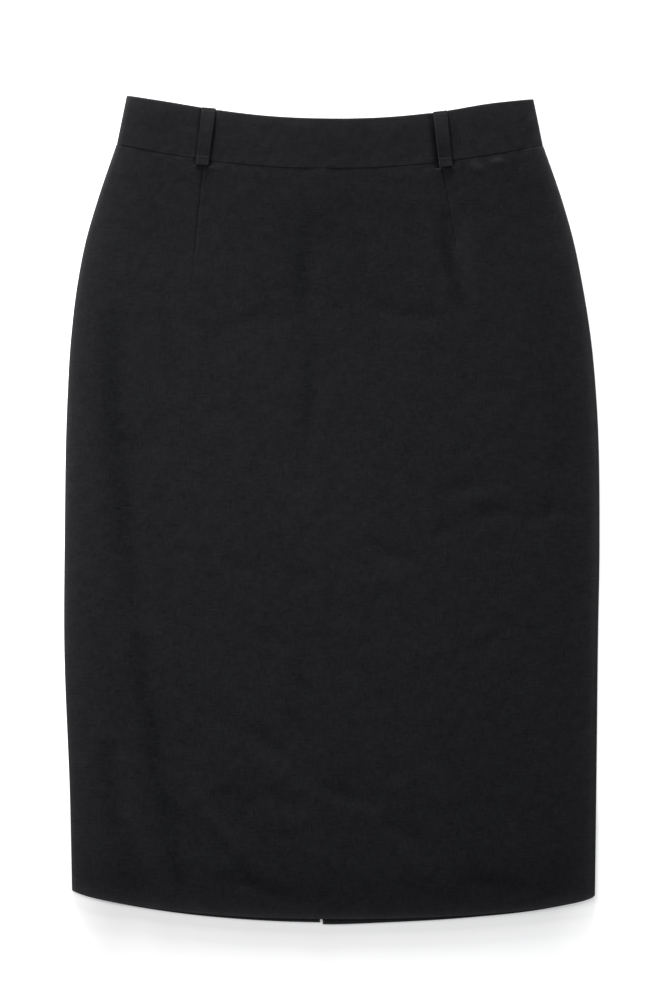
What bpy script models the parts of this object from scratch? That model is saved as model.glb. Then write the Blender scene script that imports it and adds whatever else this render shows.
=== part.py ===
"""A pencil skirt with a contoured waistband, laid flat on its back with its front up.

The origin is on the table, in the middle of the garment. +Y runs up to the waist, +Z up from the
table, and the wearer's right side lies at -X. Tables are in millimetres, meshes in metres.
The back panels lie flat. The front lies over them and rolls down to the table at both sides,
where its edge meets the back at the side seam. A zip closes the centre back as far as the top of
the waistband, and a slit opens it at the hem.
"""

import math

import bmesh
import bpy
import numpy as np
from mathutils import Matrix

MM = 0.001

# ---------------------------------------------------------------- driving dimensions
PANEL_WALL = 1.2 * MM
BAND_WALL = 1.3 * MM
LOOP_WALL = 1.2 * MM
SEAM_GAP = 0.3 * MM  # between two pieces that are sewn together or lie on each other

FRONT_HEIGHT = 4.3 * MM  # outer face of the front, where it lies plain on the back
BAND_HEIGHT = 5.1 * MM  # outer face of the front waistband
CENTRE_BACK = -9.0 * MM  # the zip, the seam and the slit of the back lie on this line

LOOP_WIDTH = 11.6 * MM
LOOP_BELOW_SEAM = 4.6 * MM
LOOP_BULGE = 0.9 * MM  # how far a loop stands off the band between its two bar tacks
BACK_LOOP_OFFSET = 78.0 * MM  # of each back loop from the centre back

ZIP_TOP = 322.0 * MM
ZIP_BOTTOM = 84.0 * MM
TAPE_WIDTH = 12.0 * MM
TAPE_WALL = 0.4 * MM
COIL_WIDTH = 4.0 * MM
COIL_WALL = 0.9 * MM

SLIDER_LENGTH = 9.0 * MM
SLIDER_WIDTH = 6.0 * MM
SLIDER_WALL = 0.5 * MM
NECK_WIDTH = 1.2 * MM  # of the slider's neck, which comes out between the two sides of the opening
HINGE_Y = 324.0 * MM
HINGE_Z = 0.95 * MM
EYE_RADIUS = 0.65 * MM  # hole in the neck that holds the pull tab
NECK_RADIUS = 0.95 * MM
TAB_WALL = 0.5 * MM
TAB_BAR = 0.5 * MM  # bar of the pull tab that turns in the neck's eye
TAB_LENGTH = 21.0 * MM
TAB_WIDTH = 4.6 * MM
TAB_TIP_WIDTH = 3.0 * MM
TAB_WAIST_START = -7.0 * MM  # the pull tab narrows to its tip's width between these two, from its bar down
TAB_WAIST_END = -11.0 * MM
TAB_EYE_WIDTH = 2.0 * MM
TAB_EYE_LENGTH = 1.4 * MM

LIFT = 1.5 * MM  # how far the back rises over the pull tab and over each back loop


def table(columns, *rows):
    """Named columns of millimetres with a row for each section or fold, as arrays in metres."""
    return dict(zip(columns.split(), np.array(rows, dtype=float).T * MM))


# Outline of the panels: how far each side reaches from the middle, from the hem up.
SIDES = table(
    "height right left",
    (-325.0, 218.2, 220.8),
    (-243.0, 220.2, 222.3),
    (-109.0, 225.0, 223.5),
    (-25.0, 224.5, 225.0),
    (93.0, 222.3, 222.2),
    (143.0, 219.2, 217.5),
    (193.0, 213.2, 209.6),
    (227.0, 206.5, 202.6),
    (261.0, 196.6, 193.0),
    (307.0, 181.0, 177.0),
)

# The waistband: a point of its top edge and the one below it on its seam, from right to left.
BAND = table(
    "top_x top_y seam_x seam_y",
    (-172.2, 347.7, -180.6, 307.4),
    (-136.1, 342.8, -141.5, 299.7),
    (-105.0, 337.6, -109.2, 294.3),
    (-52.0, 331.1, -54.0, 288.5),
    (0.0, 328.9, 0.0, 286.9),
    (46.0, 330.3, 48.0, 288.2),
    (91.2, 334.9, 95.9, 292.8),
    (132.7, 341.2, 139.0, 299.1),
    (168.8, 345.0, 176.8, 306.0),
)

# Hem edges, from right to left. The front is a little shorter than the back.
HEM = table(
    "across back front",
    (-218.6, -318.0, -318.0),
    (-195.0, -326.7, -326.4),
    (-170.0, -331.9, -331.2),
    (-136.0, -337.3, -336.0),
    (-69.0, -343.9, -341.6),
    (-9.0, -346.9, -343.2),
    (49.0, -345.9, -342.9),
    (116.0, -341.9, -340.0),
    (183.0, -334.1, -333.4),
    (205.0, -329.4, -329.2),
    (221.2, -321.8, -321.8),
)
HEM_STEP = 0.8 * MM  # at the slit the left back hangs lower than the mean by this, the right back higher
HEM_STEP_REACH = 40.0 * MM
HEM_SINK = 1.1 * MM  # how much lower the front lies at its hem
HEM_SINK_REACH = 48.0 * MM
SLOPE_STEP = 1.0 * MM  # over which an edge's slope is taken

# Half of the gap between the two back pieces: slit, seam, and the opening that spreads at the slider.
OPENING = table(
    "height half_gap",
    (-348.0, 1.75),
    (-330.0, 1.00),
    (-200.0, 0.15),
    (287.0, 0.15),
    (324.0, 1.00),
    (331.0, 1.15),
)

# Waist darts of the front, from the seam of the waistband down to the tip.
DARTS = table(
    "top_x top_y tip_x tip_y",
    (-109.6, 294.0, -117.0, 200.0),
    (95.6, 292.5, 106.8, 210.0),
)
DART_DEPTH = 0.45 * MM
DART_REACH = 1.4 * MM

# How the front is drawn down towards each side, and how round the edge itself is.
SIDE_ROLLS = table(
    "drop reach radius",
    (1.2, 46.0, 5.5),
    (0.8, 26.0, 4.0),
)
ROLL_ANGLES = (90.0, 66.0, 42.0, 20.0)
ROLL_FOOT = PANEL_WALL + 0.2 * MM  # below this height the edge stands upright beside the back

# The largest folds of the front. Each runs along an arc through three points. It is a trough where
# its depth is positive and a ridge where it is negative.
FOLDS = table(
    "start_x start_y mid_x mid_y end_x end_y reach depth",
    (-188, 175, -180, 40, -168, -95, 20, 0.60),
    (-166, -95, -150, -205, -122, -335, 15, 0.75),
    (-196, -190, -180, -265, -158, -330, 15, 0.50),
    (-176, -200, -163, -262, -132, -335, 13, -0.45),
    (-38, 178, -72, 157, -125, 160, 13, 0.45),
    (8, 190, 44, 170, 102, 166, 13, 0.50),
    (92, 255, 99, 210, 110, 165, 9, 0.45),
    (112, 250, 117, 210, 126, 160, 10, -0.40),
    (78, 16, 105, 22, 152, 40, 13, 0.50),
    (82, -20, 122, -3, 192, 6, 13, 0.60),
    (92, 8, 112, 12, 150, 22, 11, -0.30),
    (98, -118, 126, -106, 170, -72, 14, 0.50),
    (-18, -28, 30, -34, 84, -30, 14, 0.40),
    (-122, -150, -82, -178, -38, -202, 14, 0.50),
    (-44, -160, -26, -180, -12, -206, 11, 0.45),
    (-40, -212, -2, -228, 52, -240, 14, 0.60),
    (-62, -206, -38, -224, -8, -240, 12, -0.40),
    (-118, -244, -98, -278, -62, -314, 13, 0.60),
    (-98, -300, -66, -316, -24, -328, 12, 0.50),
    (-66, -226, -48, -238, -28, -252, 12, 0.40),
    (34, -258, 60, -269, 92, -290, 13, 0.50),
    (98, -306, 124, -308, 156, -318, 12, 0.50),
)
FOLD_STEPS = 25
FOLD_CLEARANCE = 0.1 * MM
BACK_SEAM_RIDGE = 0.30 * MM  # print of the zip and of the back's seam on the front
BACK_SEAM_REACH = 9.0 * MM
WAIST_RISE = 0.5 * MM  # how much higher the front lies at the waistband
WAIST_RISE_REACH = 70.0 * MM
ZIP_SWELL = 1.35 * MM  # how much higher the waistband lies over the slider
ZIP_SWELL_REACH = 34.0 * MM

FRONT_ROWS = 44
BACK_ROWS = 28
BACK_TOP_SHARES = (0.97, 0.987, 1.0)  # the last rows of the back lie closer, where it rises over the loops
BAND_ROWS = 3
BAND_FIELD = 30  # columns of the front waistband between its two rolled ends
OUTER_FIELD = 7  # columns of the front between a side and its dart
MIDDLE_FIELD = 15  # columns of the front between the two darts


# ---------------------------------------------------------------- curves and heights
def follow(at, values, where):
    """A smooth curve through (at, values): cubic pieces, with each slope taken from both neighbours."""
    slopes = np.gradient(values, at)
    i = np.clip(np.searchsorted(at, where) - 1, 0, len(at) - 2)
    step = at[i + 1] - at[i]
    t = np.clip((where - at[i]) / step, 0.0, 1.0)
    rise = values[i + 1] - values[i]
    bend = (slopes[i] + slopes[i + 1]) * step - 2 * rise
    lean = 3 * rise - (2 * slopes[i] + slopes[i + 1]) * step
    return values[i] + t * (slopes[i] * step + t * (lean + t * bend))


def ramp(distance, inner, outer):
    """1 up to the inner distance, 0 from the outer one on, and a soft S between them."""
    t = np.clip((outer - distance) / (outer - inner), 0.0, 1.0)
    return t * t * (3 - 2 * t)


def side_edge(side, inset=0.0):
    """The wearer's right or left edge of the panels, as a line that gives x at each height. An inset
    moves it inwards, square to itself."""
    outwards = 1.0 if side == "left" else -1.0

    def line(y):
        reach = follow(SIDES["height"], SIDES[side], y)
        slope = (follow(SIDES["height"], SIDES[side], y + SLOPE_STEP) - reach) / SLOPE_STEP
        return outwards * (reach - inset * np.sqrt(1 + slope**2))

    return line


def band_seam(x):
    return follow(BAND["seam_x"], BAND["seam_y"], x)


def band_top(x):
    return follow(BAND["top_x"], BAND["top_y"], x)


def panel_top(x):
    return band_seam(x) - SEAM_GAP


def front_hem(x):
    return follow(HEM["across"], HEM["front"], x)


def back_hem(x):
    """The back's hem, which steps down from the right panel to the left one at the slit."""
    step = HEM_STEP * np.exp(-(((x - CENTRE_BACK) / HEM_STEP_REACH) ** 2))
    return follow(HEM["across"], HEM["back"], x) - np.sign(x - CENTRE_BACK) * step


def half_gap(y):
    return np.interp(y, OPENING["height"], OPENING["half_gap"])


def dart_line(number):
    """The line of one dart, which goes straight down from its tip to the hem."""
    tip_y, top_y = DARTS["tip_y"][number], DARTS["top_y"][number]
    tip_x, top_x = DARTS["tip_x"][number], DARTS["top_x"][number]
    return lambda y: np.interp(y, (tip_y, top_y), (tip_x, top_x))


def row_of(rows, number):
    return {name: column[number] for name, column in rows.items()}


def fold(x, y, row):
    """Depth of one fold: a soft bell across its arc, fading out at both ends."""
    t = np.linspace(0.0, 1.0, FOLD_STEPS)
    bow_x = 2 * row["mid_x"] - (row["start_x"] + row["end_x"]) / 2
    bow_y = 2 * row["mid_y"] - (row["start_y"] + row["end_y"]) / 2
    path_x = (1 - t) ** 2 * row["start_x"] + 2 * t * (1 - t) * bow_x + t**2 * row["end_x"]
    path_y = (1 - t) ** 2 * row["start_y"] + 2 * t * (1 - t) * bow_y + t**2 * row["end_y"]
    square = (x[..., None] - path_x) ** 2 + (y[..., None] - path_y) ** 2
    nearest = square.argmin(axis=-1)
    return row["depth"] * np.exp(-square.min(axis=-1) / row["reach"] ** 2) * np.sin(np.pi * t[nearest])


def all_folds(x, y):
    return sum(fold(x, y, row_of(FOLDS, number)) for number in range(len(FOLDS["depth"])))


def dart_groove(x, y):
    """The ditch along each dart's seam, which runs out at the tip."""
    depth = np.zeros_like(x)
    for number in range(2):
        away = np.abs(x - dart_line(number)(y))
        fade = np.clip((y - DARTS["tip_y"][number]) / (20 * MM), 0.0, 1.0)
        depth += DART_DEPTH * np.clip(1 - away / DART_REACH, 0.0, 1.0) * fade
    return depth


def side_and_hem_drop(x, y):
    """How far the front is drawn down near each side, and between the sides near its hem."""
    drop, reach = SIDE_ROLLS["drop"], SIDE_ROLLS["reach"]
    near_right = ramp(x - side_edge("right")(y), 0.0, reach[0])
    near_left = ramp(side_edge("left")(y) - x, 0.0, reach[1])
    near_hem = ramp(y - front_hem(x), 0.0, HEM_SINK_REACH)
    return drop[0] * near_right + drop[1] * near_left + HEM_SINK * near_hem * (1 - near_right) * (1 - near_left)


def front_height(x, y):
    """Outer face of the front, which never comes nearer to the back than a seam's gap."""
    waist = WAIST_RISE * ramp(band_seam(x) - y, 0.0, WAIST_RISE_REACH)
    over_zip = BACK_SEAM_RIDGE * np.exp(-(((x - CENTRE_BACK) / BACK_SEAM_REACH) ** 2))
    over_slider = ZIP_SWELL * 0.45 * zip_swell(x) * ramp(band_seam(x) - y, 0.0, WAIST_RISE_REACH)
    plain = FRONT_HEIGHT + waist + over_zip + over_slider
    lowest = 2 * PANEL_WALL + SEAM_GAP + FOLD_CLEARANCE
    return np.maximum(plain - side_and_hem_drop(x, y) - all_folds(x, y), lowest) - dart_groove(x, y)


def zip_swell(x):
    return np.exp(-(((x - CENTRE_BACK) / ZIP_SWELL_REACH) ** 2))


def band_height(x, up):
    """Outer face of the front waistband. up is 0 at its seam and 1 at its top edge."""
    ends = 0.9 * MM * (ramp(x - BAND["seam_x"][0], 0.0, 30 * MM) + ramp(BAND["seam_x"][-1] - x, 0.0, 24 * MM))
    return BAND_HEIGHT + ZIP_SWELL * (0.6 + 0.4 * up) * zip_swell(x) - ends


def back_lift(x, y):
    """How far the back rises off the table over the pull tab and over the two back loops."""
    below = ramp(band_seam(x) - y, 8 * MM, 26 * MM)
    from_centre = np.abs(x - CENTRE_BACK)
    over_tab = ramp(from_centre, 15 * MM, 28 * MM)
    over_loop = ramp(np.abs(from_centre - BACK_LOOP_OFFSET), 7 * MM, 20 * MM)
    return LIFT * below * (over_tab + over_loop)


def zip_bed(y):
    """Where the zip lies on the inside of the back."""
    at_centre = np.full_like(y, CENTRE_BACK)
    return back_lift(at_centre, y) + BAND_WALL + SEAM_GAP


# ---------------------------------------------------------------- Blender helpers
def collection(name):
    made = bpy.data.collections.new(name)
    bpy.context.scene.collection.children.link(made)
    return made


def material(name, colour, roughness, metallic=0.0):
    made = bpy.data.materials.new(name)
    made.use_nodes = True
    shader = made.node_tree.nodes["Principled BSDF"]
    shader.inputs["Base Color"].default_value = (*colour, 1.0)
    shader.inputs["Roughness"].default_value = roughness
    shader.inputs["Metallic"].default_value = metallic
    return made


def put(mesh, name, finish):
    """A mesh becomes one named sub-part of the skirt."""
    made = bpy.data.objects.new(name, mesh)
    made.data.materials.append(finish)
    PARTS.objects.link(made)
    return made


def sheet(name, x, y, z, wall, finish):
    """A grid of points becomes cloth: an open surface that Solidify gives its wall, on the inner side."""
    rows, columns = x.shape
    bm = bmesh.new()
    bmesh.ops.create_grid(bm, x_segments=columns - 1, y_segments=rows - 1, size=1.0)
    mesh = bpy.data.meshes.new(name)
    bm.to_mesh(mesh)
    bm.free()
    mesh.vertices.foreach_set("co", np.stack((x, y, z), axis=-1).ravel())
    mesh.shade_smooth()
    made = put(mesh, name, finish)
    thick = made.modifiers.new("wall", "SOLIDIFY")
    thick.thickness = wall
    thick.offset = -1.0
    thick.use_even_offset = True
    return made


def lay_panel(columns, top, bottom, shares):
    """Points of a panel from its bottom edge up. A column lies at a share of the way between two
    guide lines, plus an offset. Both depend on each other, so the points are settled in a few turns."""
    y = np.zeros((len(shares), len(columns)))
    x = np.zeros_like(y)
    for _ in range(12):
        for i, (start, end, share, offset) in enumerate(columns):
            x[:, i] = (1 - share) * start(y[:, i]) + share * end(y[:, i]) + offset
        y = bottom(x) + (top(x) - bottom(x)) * shares[:, None]
    return x, y


def flat_plate(name, outline, hole, thickness, finish):
    """A flat outline with a hole, as a filled 2D curve that is made a mesh. It lies across local Z."""
    curve = bpy.data.curves.new(name, "CURVE")
    curve.dimensions = "2D"
    curve.fill_mode = "BOTH"
    curve.extrude = thickness / 2
    for points in (outline, hole):
        spline = curve.splines.new("POLY")
        spline.points.add(len(points) - 1)
        spline.points.foreach_set("co", [value for p in points for value in (p[0], p[1], 0.0, 1.0)])
        spline.use_cyclic_u = True
    holder = bpy.data.objects.new(name + "_outline", curve)
    PARTS.objects.link(holder)
    bpy.context.view_layer.update()
    mesh = bpy.data.meshes.new_from_object(holder.evaluated_get(bpy.context.evaluated_depsgraph_get()))
    mesh.name = name
    bpy.data.objects.remove(holder)
    bm = bmesh.new()
    bm.from_mesh(mesh)
    bmesh.ops.remove_doubles(bm, verts=bm.verts, dist=0.00001)
    bm.to_mesh(mesh)
    bm.free()
    mesh.materials.clear()
    return put(mesh, name, finish)


def arc(centre_x, centre_y, radius, start, end, steps):
    """Points on a round stretch, angles in degrees."""
    angles = np.radians(np.linspace(start, end, steps))
    return [(centre_x + radius * math.cos(a), centre_y + radius * math.sin(a)) for a in angles]


# ---------------------------------------------------------------- cloth
def roll_offsets(side):
    """Distances from the edge for the columns of its roll: the foot, then the round stretch."""
    radius = SIDE_ROLLS["radius"][side]
    return [0.0] + [radius * (1 - math.sin(math.radians(angle))) for angle in ROLL_ANGLES] + [radius]


def roll_heights(crown):
    """Heights of the same columns: on the table, upright to the roll's foot, then a quarter ellipse."""
    rise = [ROLL_FOOT + (crown - ROLL_FOOT) * math.cos(math.radians(angle)) for angle in ROLL_ANGLES]
    return [np.zeros_like(crown)] + rise + [crown]


def front_panel(finish):
    """The front: three fields parted by the darts, with a round edge at each side."""
    right_side, left_side = side_edge("right"), side_edge("left")
    right_dart, left_dart = dart_line(0), dart_line(1)
    ditch = (-DART_REACH, 0.0, DART_REACH)
    right_radius, left_radius = SIDE_ROLLS["radius"]

    def right_start(y):
        return right_side(y) + right_radius

    def left_start(y):
        return left_side(y) - left_radius

    columns = [(right_side, right_side, 0.0, offset) for offset in roll_offsets(0)]
    columns += [(right_start, right_dart, i / OUTER_FIELD, 0.0) for i in range(1, OUTER_FIELD)]
    columns += [(right_dart, right_dart, 0.0, offset) for offset in ditch]
    columns += [(right_dart, left_dart, i / MIDDLE_FIELD, 0.0) for i in range(1, MIDDLE_FIELD)]
    columns += [(left_dart, left_dart, 0.0, offset) for offset in ditch]
    columns += [(left_dart, left_start, i / OUTER_FIELD, 0.0) for i in range(1, OUTER_FIELD)]
    columns += [(left_side, left_side, 0.0, -offset) for offset in reversed(roll_offsets(1))]
    x, y = lay_panel(columns, panel_top, front_hem, np.linspace(0.0, 1.0, FRONT_ROWS + 1))
    z = front_height(x, y)
    edge = len(ROLL_ANGLES) + 2
    z[:, :edge] = np.transpose(roll_heights(z[:, edge - 1]))
    z[:, -edge:] = np.transpose(roll_heights(z[:, -edge]))[:, ::-1]
    return sheet("skirt_front", x, y, z, PANEL_WALL, finish)


def back_columns(side_line, away):
    """Columns of one half of the back, from the centre out: away is -1 for the right, 1 for the left."""

    def centre_edge(y):
        return CENTRE_BACK + away * half_gap(y)

    def centre_line(y):
        return np.full_like(y, CENTRE_BACK)

    loop = BACK_LOOP_OFFSET / MM
    stations = (15.0, 28.0, loop - 20, loop - 7, loop + 7, loop + 20)
    outermost = away * stations[-1] * MM

    def outer_start(y):
        return np.full_like(y, CENTRE_BACK + outermost)

    columns = [(centre_edge, centre_edge, 0.0, 0.0)]
    columns += [(centre_line, centre_line, 0.0, away * station * MM) for station in stations]
    columns += [(outer_start, side_line, share, 0.0) for share in (0.33, 0.67, 1.0)]
    return columns


def back_panel(name, away, finish):
    """One half of the back, flat on the table, with its side edge just inside the front's roll."""
    side_line = side_edge("left" if away > 0 else "right", PANEL_WALL + SEAM_GAP)
    shares = np.concatenate((np.linspace(0.0, 0.95, BACK_ROWS - 3), BACK_TOP_SHARES))
    x, y = lay_panel(back_columns(side_line, away), panel_top, back_hem, shares)
    z = back_lift(x, y)
    if away > 0:
        x, y, z = x[:, ::-1], y[:, ::-1], z[:, ::-1]
    return sheet(name, x, y, z, PANEL_WALL, finish)


def band_ends(y, side, inset=0.0):
    """The right (0) or left (-1) end line of the waistband, moved inwards square to itself by inset."""
    top = np.array((BAND["top_x"][side], BAND["top_y"][side]))
    seam = np.array((BAND["seam_x"][side], BAND["seam_y"][side]))
    slope = (top[0] - seam[0]) / (top[1] - seam[1])
    inwards = 1.0 if side == 0 else -1.0
    return seam[0] + slope * (y - seam[1]) + inwards * inset * math.sqrt(1 + slope**2)


def band_front(finish):
    """The front waistband: a curved strip between its top edge and its seam, rolled down at both ends."""
    right_radius, left_radius = SIDE_ROLLS["radius"]

    def right_end(y):
        return band_ends(y, 0)

    def left_end(y):
        return band_ends(y, -1)

    def right_start(y):
        return right_end(y) + right_radius

    def left_start(y):
        return left_end(y) - left_radius

    columns = [(right_end, right_end, 0.0, offset) for offset in roll_offsets(0)]
    columns += [(right_start, left_start, i / BAND_FIELD, 0.0) for i in range(1, BAND_FIELD)]
    columns += [(left_end, left_end, 0.0, -offset) for offset in reversed(roll_offsets(1))]
    shares = np.linspace(0.0, 1.0, BAND_ROWS + 1)
    x, y = lay_panel(columns, band_top, band_seam, shares)
    z = band_height(x, np.broadcast_to(shares[:, None], x.shape))
    edge = len(ROLL_ANGLES) + 2
    z[:, :edge] = np.transpose(roll_heights(z[:, edge - 1]))
    z[:, -edge:] = np.transpose(roll_heights(z[:, -edge]))[:, ::-1]
    return sheet("waistband_front", x, y, z, BAND_WALL, finish)


def band_back(name, away, finish):
    """One half of the back waistband, from the zip round to the side seam."""
    inset = BAND_WALL + SEAM_GAP
    side = -1 if away > 0 else 0

    def side_line(y):
        return band_ends(y, side, inset)

    def top(x):
        return band_top(x) - 0.8 * MM

    x, y = lay_panel(back_columns(side_line, away), top, band_seam, np.linspace(0.0, 1.0, BAND_ROWS + 1))
    z = back_lift(x, y)
    if away > 0:
        x, y, z = x[:, ::-1], y[:, ::-1], z[:, ::-1]
    return sheet(name, x, y, z, BAND_WALL, finish)


def front_loop(name, top, bottom, finish):
    """A belt loop on the front: a strip from the band's top edge to just below its seam. It is sewn
    down by a bar tack near each end and stands off the band between them."""
    along = np.array((0.0, 0.06, 0.12, 0.2, 0.32, 0.5, 0.68, 0.78, 0.84, 0.9, 1.0))[::-1, None]
    across = np.array((-0.5, -0.42, 0.0, 0.42, 0.5))[None, :] * LOOP_WIDTH
    direction = np.subtract(bottom, top)
    direction = direction / np.hypot(*direction)
    x = top[0] + (bottom[0] - top[0]) * along - direction[1] * across
    y = top[1] + (bottom[1] - top[1]) * along + direction[0] * across
    under = band_height(x, np.clip((y - band_seam(x)) / (band_top(x) - band_seam(x)), 0.0, 1.0))
    bulge = LOOP_BULGE * np.sin(np.pi * np.clip((along - 0.1) / 0.75, 0.0, 1.0))
    z = under + SEAM_GAP + LOOP_WALL + bulge - 0.15 * MM * (np.abs(across) > 0.45 * LOOP_WIDTH)
    return sheet(name, x, y, z, LOOP_WALL, finish)


def back_loop(name, away, finish):
    """A belt loop on the back, flat between the table and the waistband that rises over it."""
    middle = CENTRE_BACK + away * BACK_LOOP_OFFSET
    at = np.array(middle)
    bottom = float(band_seam(at)) - LOOP_BELOW_SEAM
    top = float(band_top(at)) - 1.2 * MM
    x, y = np.meshgrid(np.linspace(0.5, -0.5, 3) * LOOP_WIDTH + middle, np.linspace(bottom, top, 5))
    return sheet(name, x, y, np.zeros_like(x), LOOP_WALL, finish)


# ---------------------------------------------------------------- zip
def zip_strip(name, start, end, wall, top, finish):
    """A strip of the zip that follows its bed up the inside of the back."""
    heights = np.array((ZIP_BOTTOM, 180 * MM, 258 * MM, 266 * MM, 274 * MM, 283 * MM, 300 * MM, top))
    x, y = np.meshgrid((start, end), heights)
    return sheet(name, x, y, zip_bed(y) + wall, wall, finish)


def slider_and_tab(finish):
    """The slider's plate and neck, and the pull tab that hangs in the neck's eye on the outside."""
    eye = arc(0.0, HINGE_Z, EYE_RADIUS, 0, 330, 12)
    plate_under = float(zip_bed(np.array([HINGE_Y]))[0]) + COIL_WALL + SEAM_GAP
    round_end = arc(0.0, HINGE_Z, NECK_RADIUS, 180, 360, 11)
    neck_top = plate_under + 0.2 * MM
    outline = round_end + [(NECK_RADIUS, neck_top), (-NECK_RADIUS, neck_top)]
    neck = flat_plate("zip_slider", outline, eye, NECK_WIDTH, finish)
    neck.rotation_euler = (math.pi / 2, 0.0, math.pi / 2)
    neck.location = (CENTRE_BACK, HINGE_Y, 0.0)

    bpy.ops.mesh.primitive_cube_add(size=1.0)
    plate = bpy.context.object
    plate.name = "slider_plate"
    plate.data.transform(Matrix.Diagonal((SLIDER_WIDTH, SLIDER_LENGTH, SLIDER_WALL, 1.0)))
    plate.location = (CENTRE_BACK, HINGE_Y + NECK_RADIUS - SLIDER_LENGTH / 2, plate_under + SLIDER_WALL / 2)
    for holder in plate.users_collection:
        holder.objects.unlink(plate)
    CUTTERS.objects.link(plate)
    plate.hide_render = True
    plate.display_type = "WIRE"
    join = neck.modifiers.new("plate", "BOOLEAN")
    join.operation = "UNION"
    join.solver = "EXACT"
    join.object = plate

    half, tip = TAB_WIDTH / 2, TAB_TIP_WIDTH / 2
    bar = TAB_BAR / 2
    shape = [(half, bar), (-half, bar), (-half, TAB_WAIST_START), (-tip, TAB_WAIST_END)]
    shape += arc(0.0, bar - TAB_LENGTH + tip, tip, 180, 360, 9)
    shape += [(tip, TAB_WAIST_END), (half, TAB_WAIST_START)]
    hole_half = TAB_EYE_WIDTH / 2
    hole_end = -bar - TAB_EYE_LENGTH
    hole = [(hole_half, -bar), (-hole_half, -bar), (-hole_half, hole_end), (hole_half, hole_end)]
    tab = flat_plate("zip_pull_tab", shape, hole, TAB_WALL, finish)
    hinge = bpy.data.objects.new("zip_pull_hinge", None)
    PARTS.objects.link(hinge)
    hinge.location = (CENTRE_BACK, HINGE_Y, HINGE_Z)
    tab.parent = hinge


# ---------------------------------------------------------------- the skirt
for old in list(bpy.data.objects):
    bpy.data.objects.remove(old)

PARTS = collection("pencil_skirt")
CUTTERS = collection("cutters")

suiting = material("black_suiting", (0.012, 0.012, 0.014), 0.85)
band_cloth = material("black_suiting_band", (0.014, 0.014, 0.016), 0.82)
tape_cloth = material("zip_tape", (0.010, 0.010, 0.011), 0.90)
coil_plastic = material("zip_coil", (0.015, 0.015, 0.016), 0.45)
dark_metal = material("slider_metal", (0.045, 0.045, 0.050), 0.35, 1.0)

front_panel(suiting)
back_panel("skirt_back_right", -1, suiting)
back_panel("skirt_back_left", 1, suiting)
band_front(band_cloth)
band_back("waistband_back_right", -1, band_cloth)
band_back("waistband_back_left", 1, band_cloth)

for number, side in ((2, "right"), (6, "left")):
    row = row_of(BAND, number)
    loop_top = (row["top_x"], row["top_y"] - 0.4 * MM)
    slant = (row["top_x"] - row["seam_x"]) / (row["top_y"] - row["seam_y"])
    loop_foot = (row["seam_x"] - slant * LOOP_BELOW_SEAM, row["seam_y"] - LOOP_BELOW_SEAM)
    front_loop("belt_loop_front_" + side, loop_top, loop_foot, band_cloth)
for away, side in ((-1, "right"), (1, "left")):
    back_loop("belt_loop_back_" + side, away, band_cloth)

coil_half = COIL_WIDTH / 2
tape_start = coil_half + SEAM_GAP
for away, side in ((-1, "right"), (1, "left")):
    edges = sorted((CENTRE_BACK + away * tape_start, CENTRE_BACK + away * (tape_start + TAPE_WIDTH)))
    zip_strip("zip_tape_" + side, edges[0], edges[1], TAPE_WALL, ZIP_TOP + 2 * MM, tape_cloth)
zip_strip("zip_coil", CENTRE_BACK - coil_half, CENTRE_BACK + coil_half, COIL_WALL, ZIP_TOP, coil_plastic)
slider_and_tab(dark_metal)
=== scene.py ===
# %% [markdown]
# # A pencil skirt in black suiting, laid flat
#
# The real thing is a front panel, two back panels, a contoured waistband, four belt loops and a
# concealed zip. Its solids are already there, as plain pieces of the right size. This lesson gives
# each of them the cloth, the creases and the sewing that one sees.
#
# Every piece is a surface on a grid: two parameters run across it and up it, and numpy works out
# all its points at once. The skirt lies on its back. +Y runs up to the waist, +Z up from the
# table, and the wearer's right side lies at -X.

import bpy
import numpy as np
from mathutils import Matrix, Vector


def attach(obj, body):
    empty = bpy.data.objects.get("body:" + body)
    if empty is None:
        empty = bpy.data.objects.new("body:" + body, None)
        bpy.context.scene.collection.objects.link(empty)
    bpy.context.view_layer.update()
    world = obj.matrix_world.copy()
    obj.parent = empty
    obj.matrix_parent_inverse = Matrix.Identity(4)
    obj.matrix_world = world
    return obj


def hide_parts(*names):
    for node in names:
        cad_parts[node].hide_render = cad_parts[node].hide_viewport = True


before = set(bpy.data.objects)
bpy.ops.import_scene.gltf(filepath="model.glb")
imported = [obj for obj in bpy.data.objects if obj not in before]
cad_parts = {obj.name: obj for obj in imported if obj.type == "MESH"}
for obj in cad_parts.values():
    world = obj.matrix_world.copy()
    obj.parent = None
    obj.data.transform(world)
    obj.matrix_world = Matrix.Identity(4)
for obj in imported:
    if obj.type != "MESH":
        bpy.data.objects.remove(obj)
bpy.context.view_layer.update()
MM = 0.001
print("solids in the frame:", len(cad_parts))

# %% [markdown]
# ## Camera and light
#
# A flat lay is seen from straight above. A long lens keeps the flat outline free of perspective,
# and its height follows from the size that the picture has to cover.
#
# The light is that of a white studio. A pale sky fills the shadows. A soft box hangs over the left
# side, so the cloth darkens a little towards the lower right. Two long panels beyond the waist, a
# low one and a weaker one above it, rake over the creases and throw the short soft shadow below the
# hem. A third one on the left shows the upright creases and the rolled side. Each light is given by
# its level: how bright it alone makes a white sheet in the middle of the skirt. The floor glows, and
# its glow is painted light. It is strong enough everywhere that no shadow shows beside the skirt. It
# is dim only in a patch below the hem, where the shadow shows, and there it rises to the right to make
# up for the lamps' falloff.


# %% Camera
IMAGE_SIZE = (672, 1008)
REAL_PIXEL = 0.84 * MM  # what one pixel of the picture covers on the skirt
CAMERA_OVER = (3.36 * MM, 5.33 * MM)
LENS, SENSOR = 85.0, 36.0
CLOTH_LEVEL = 3.0 * MM

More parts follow.
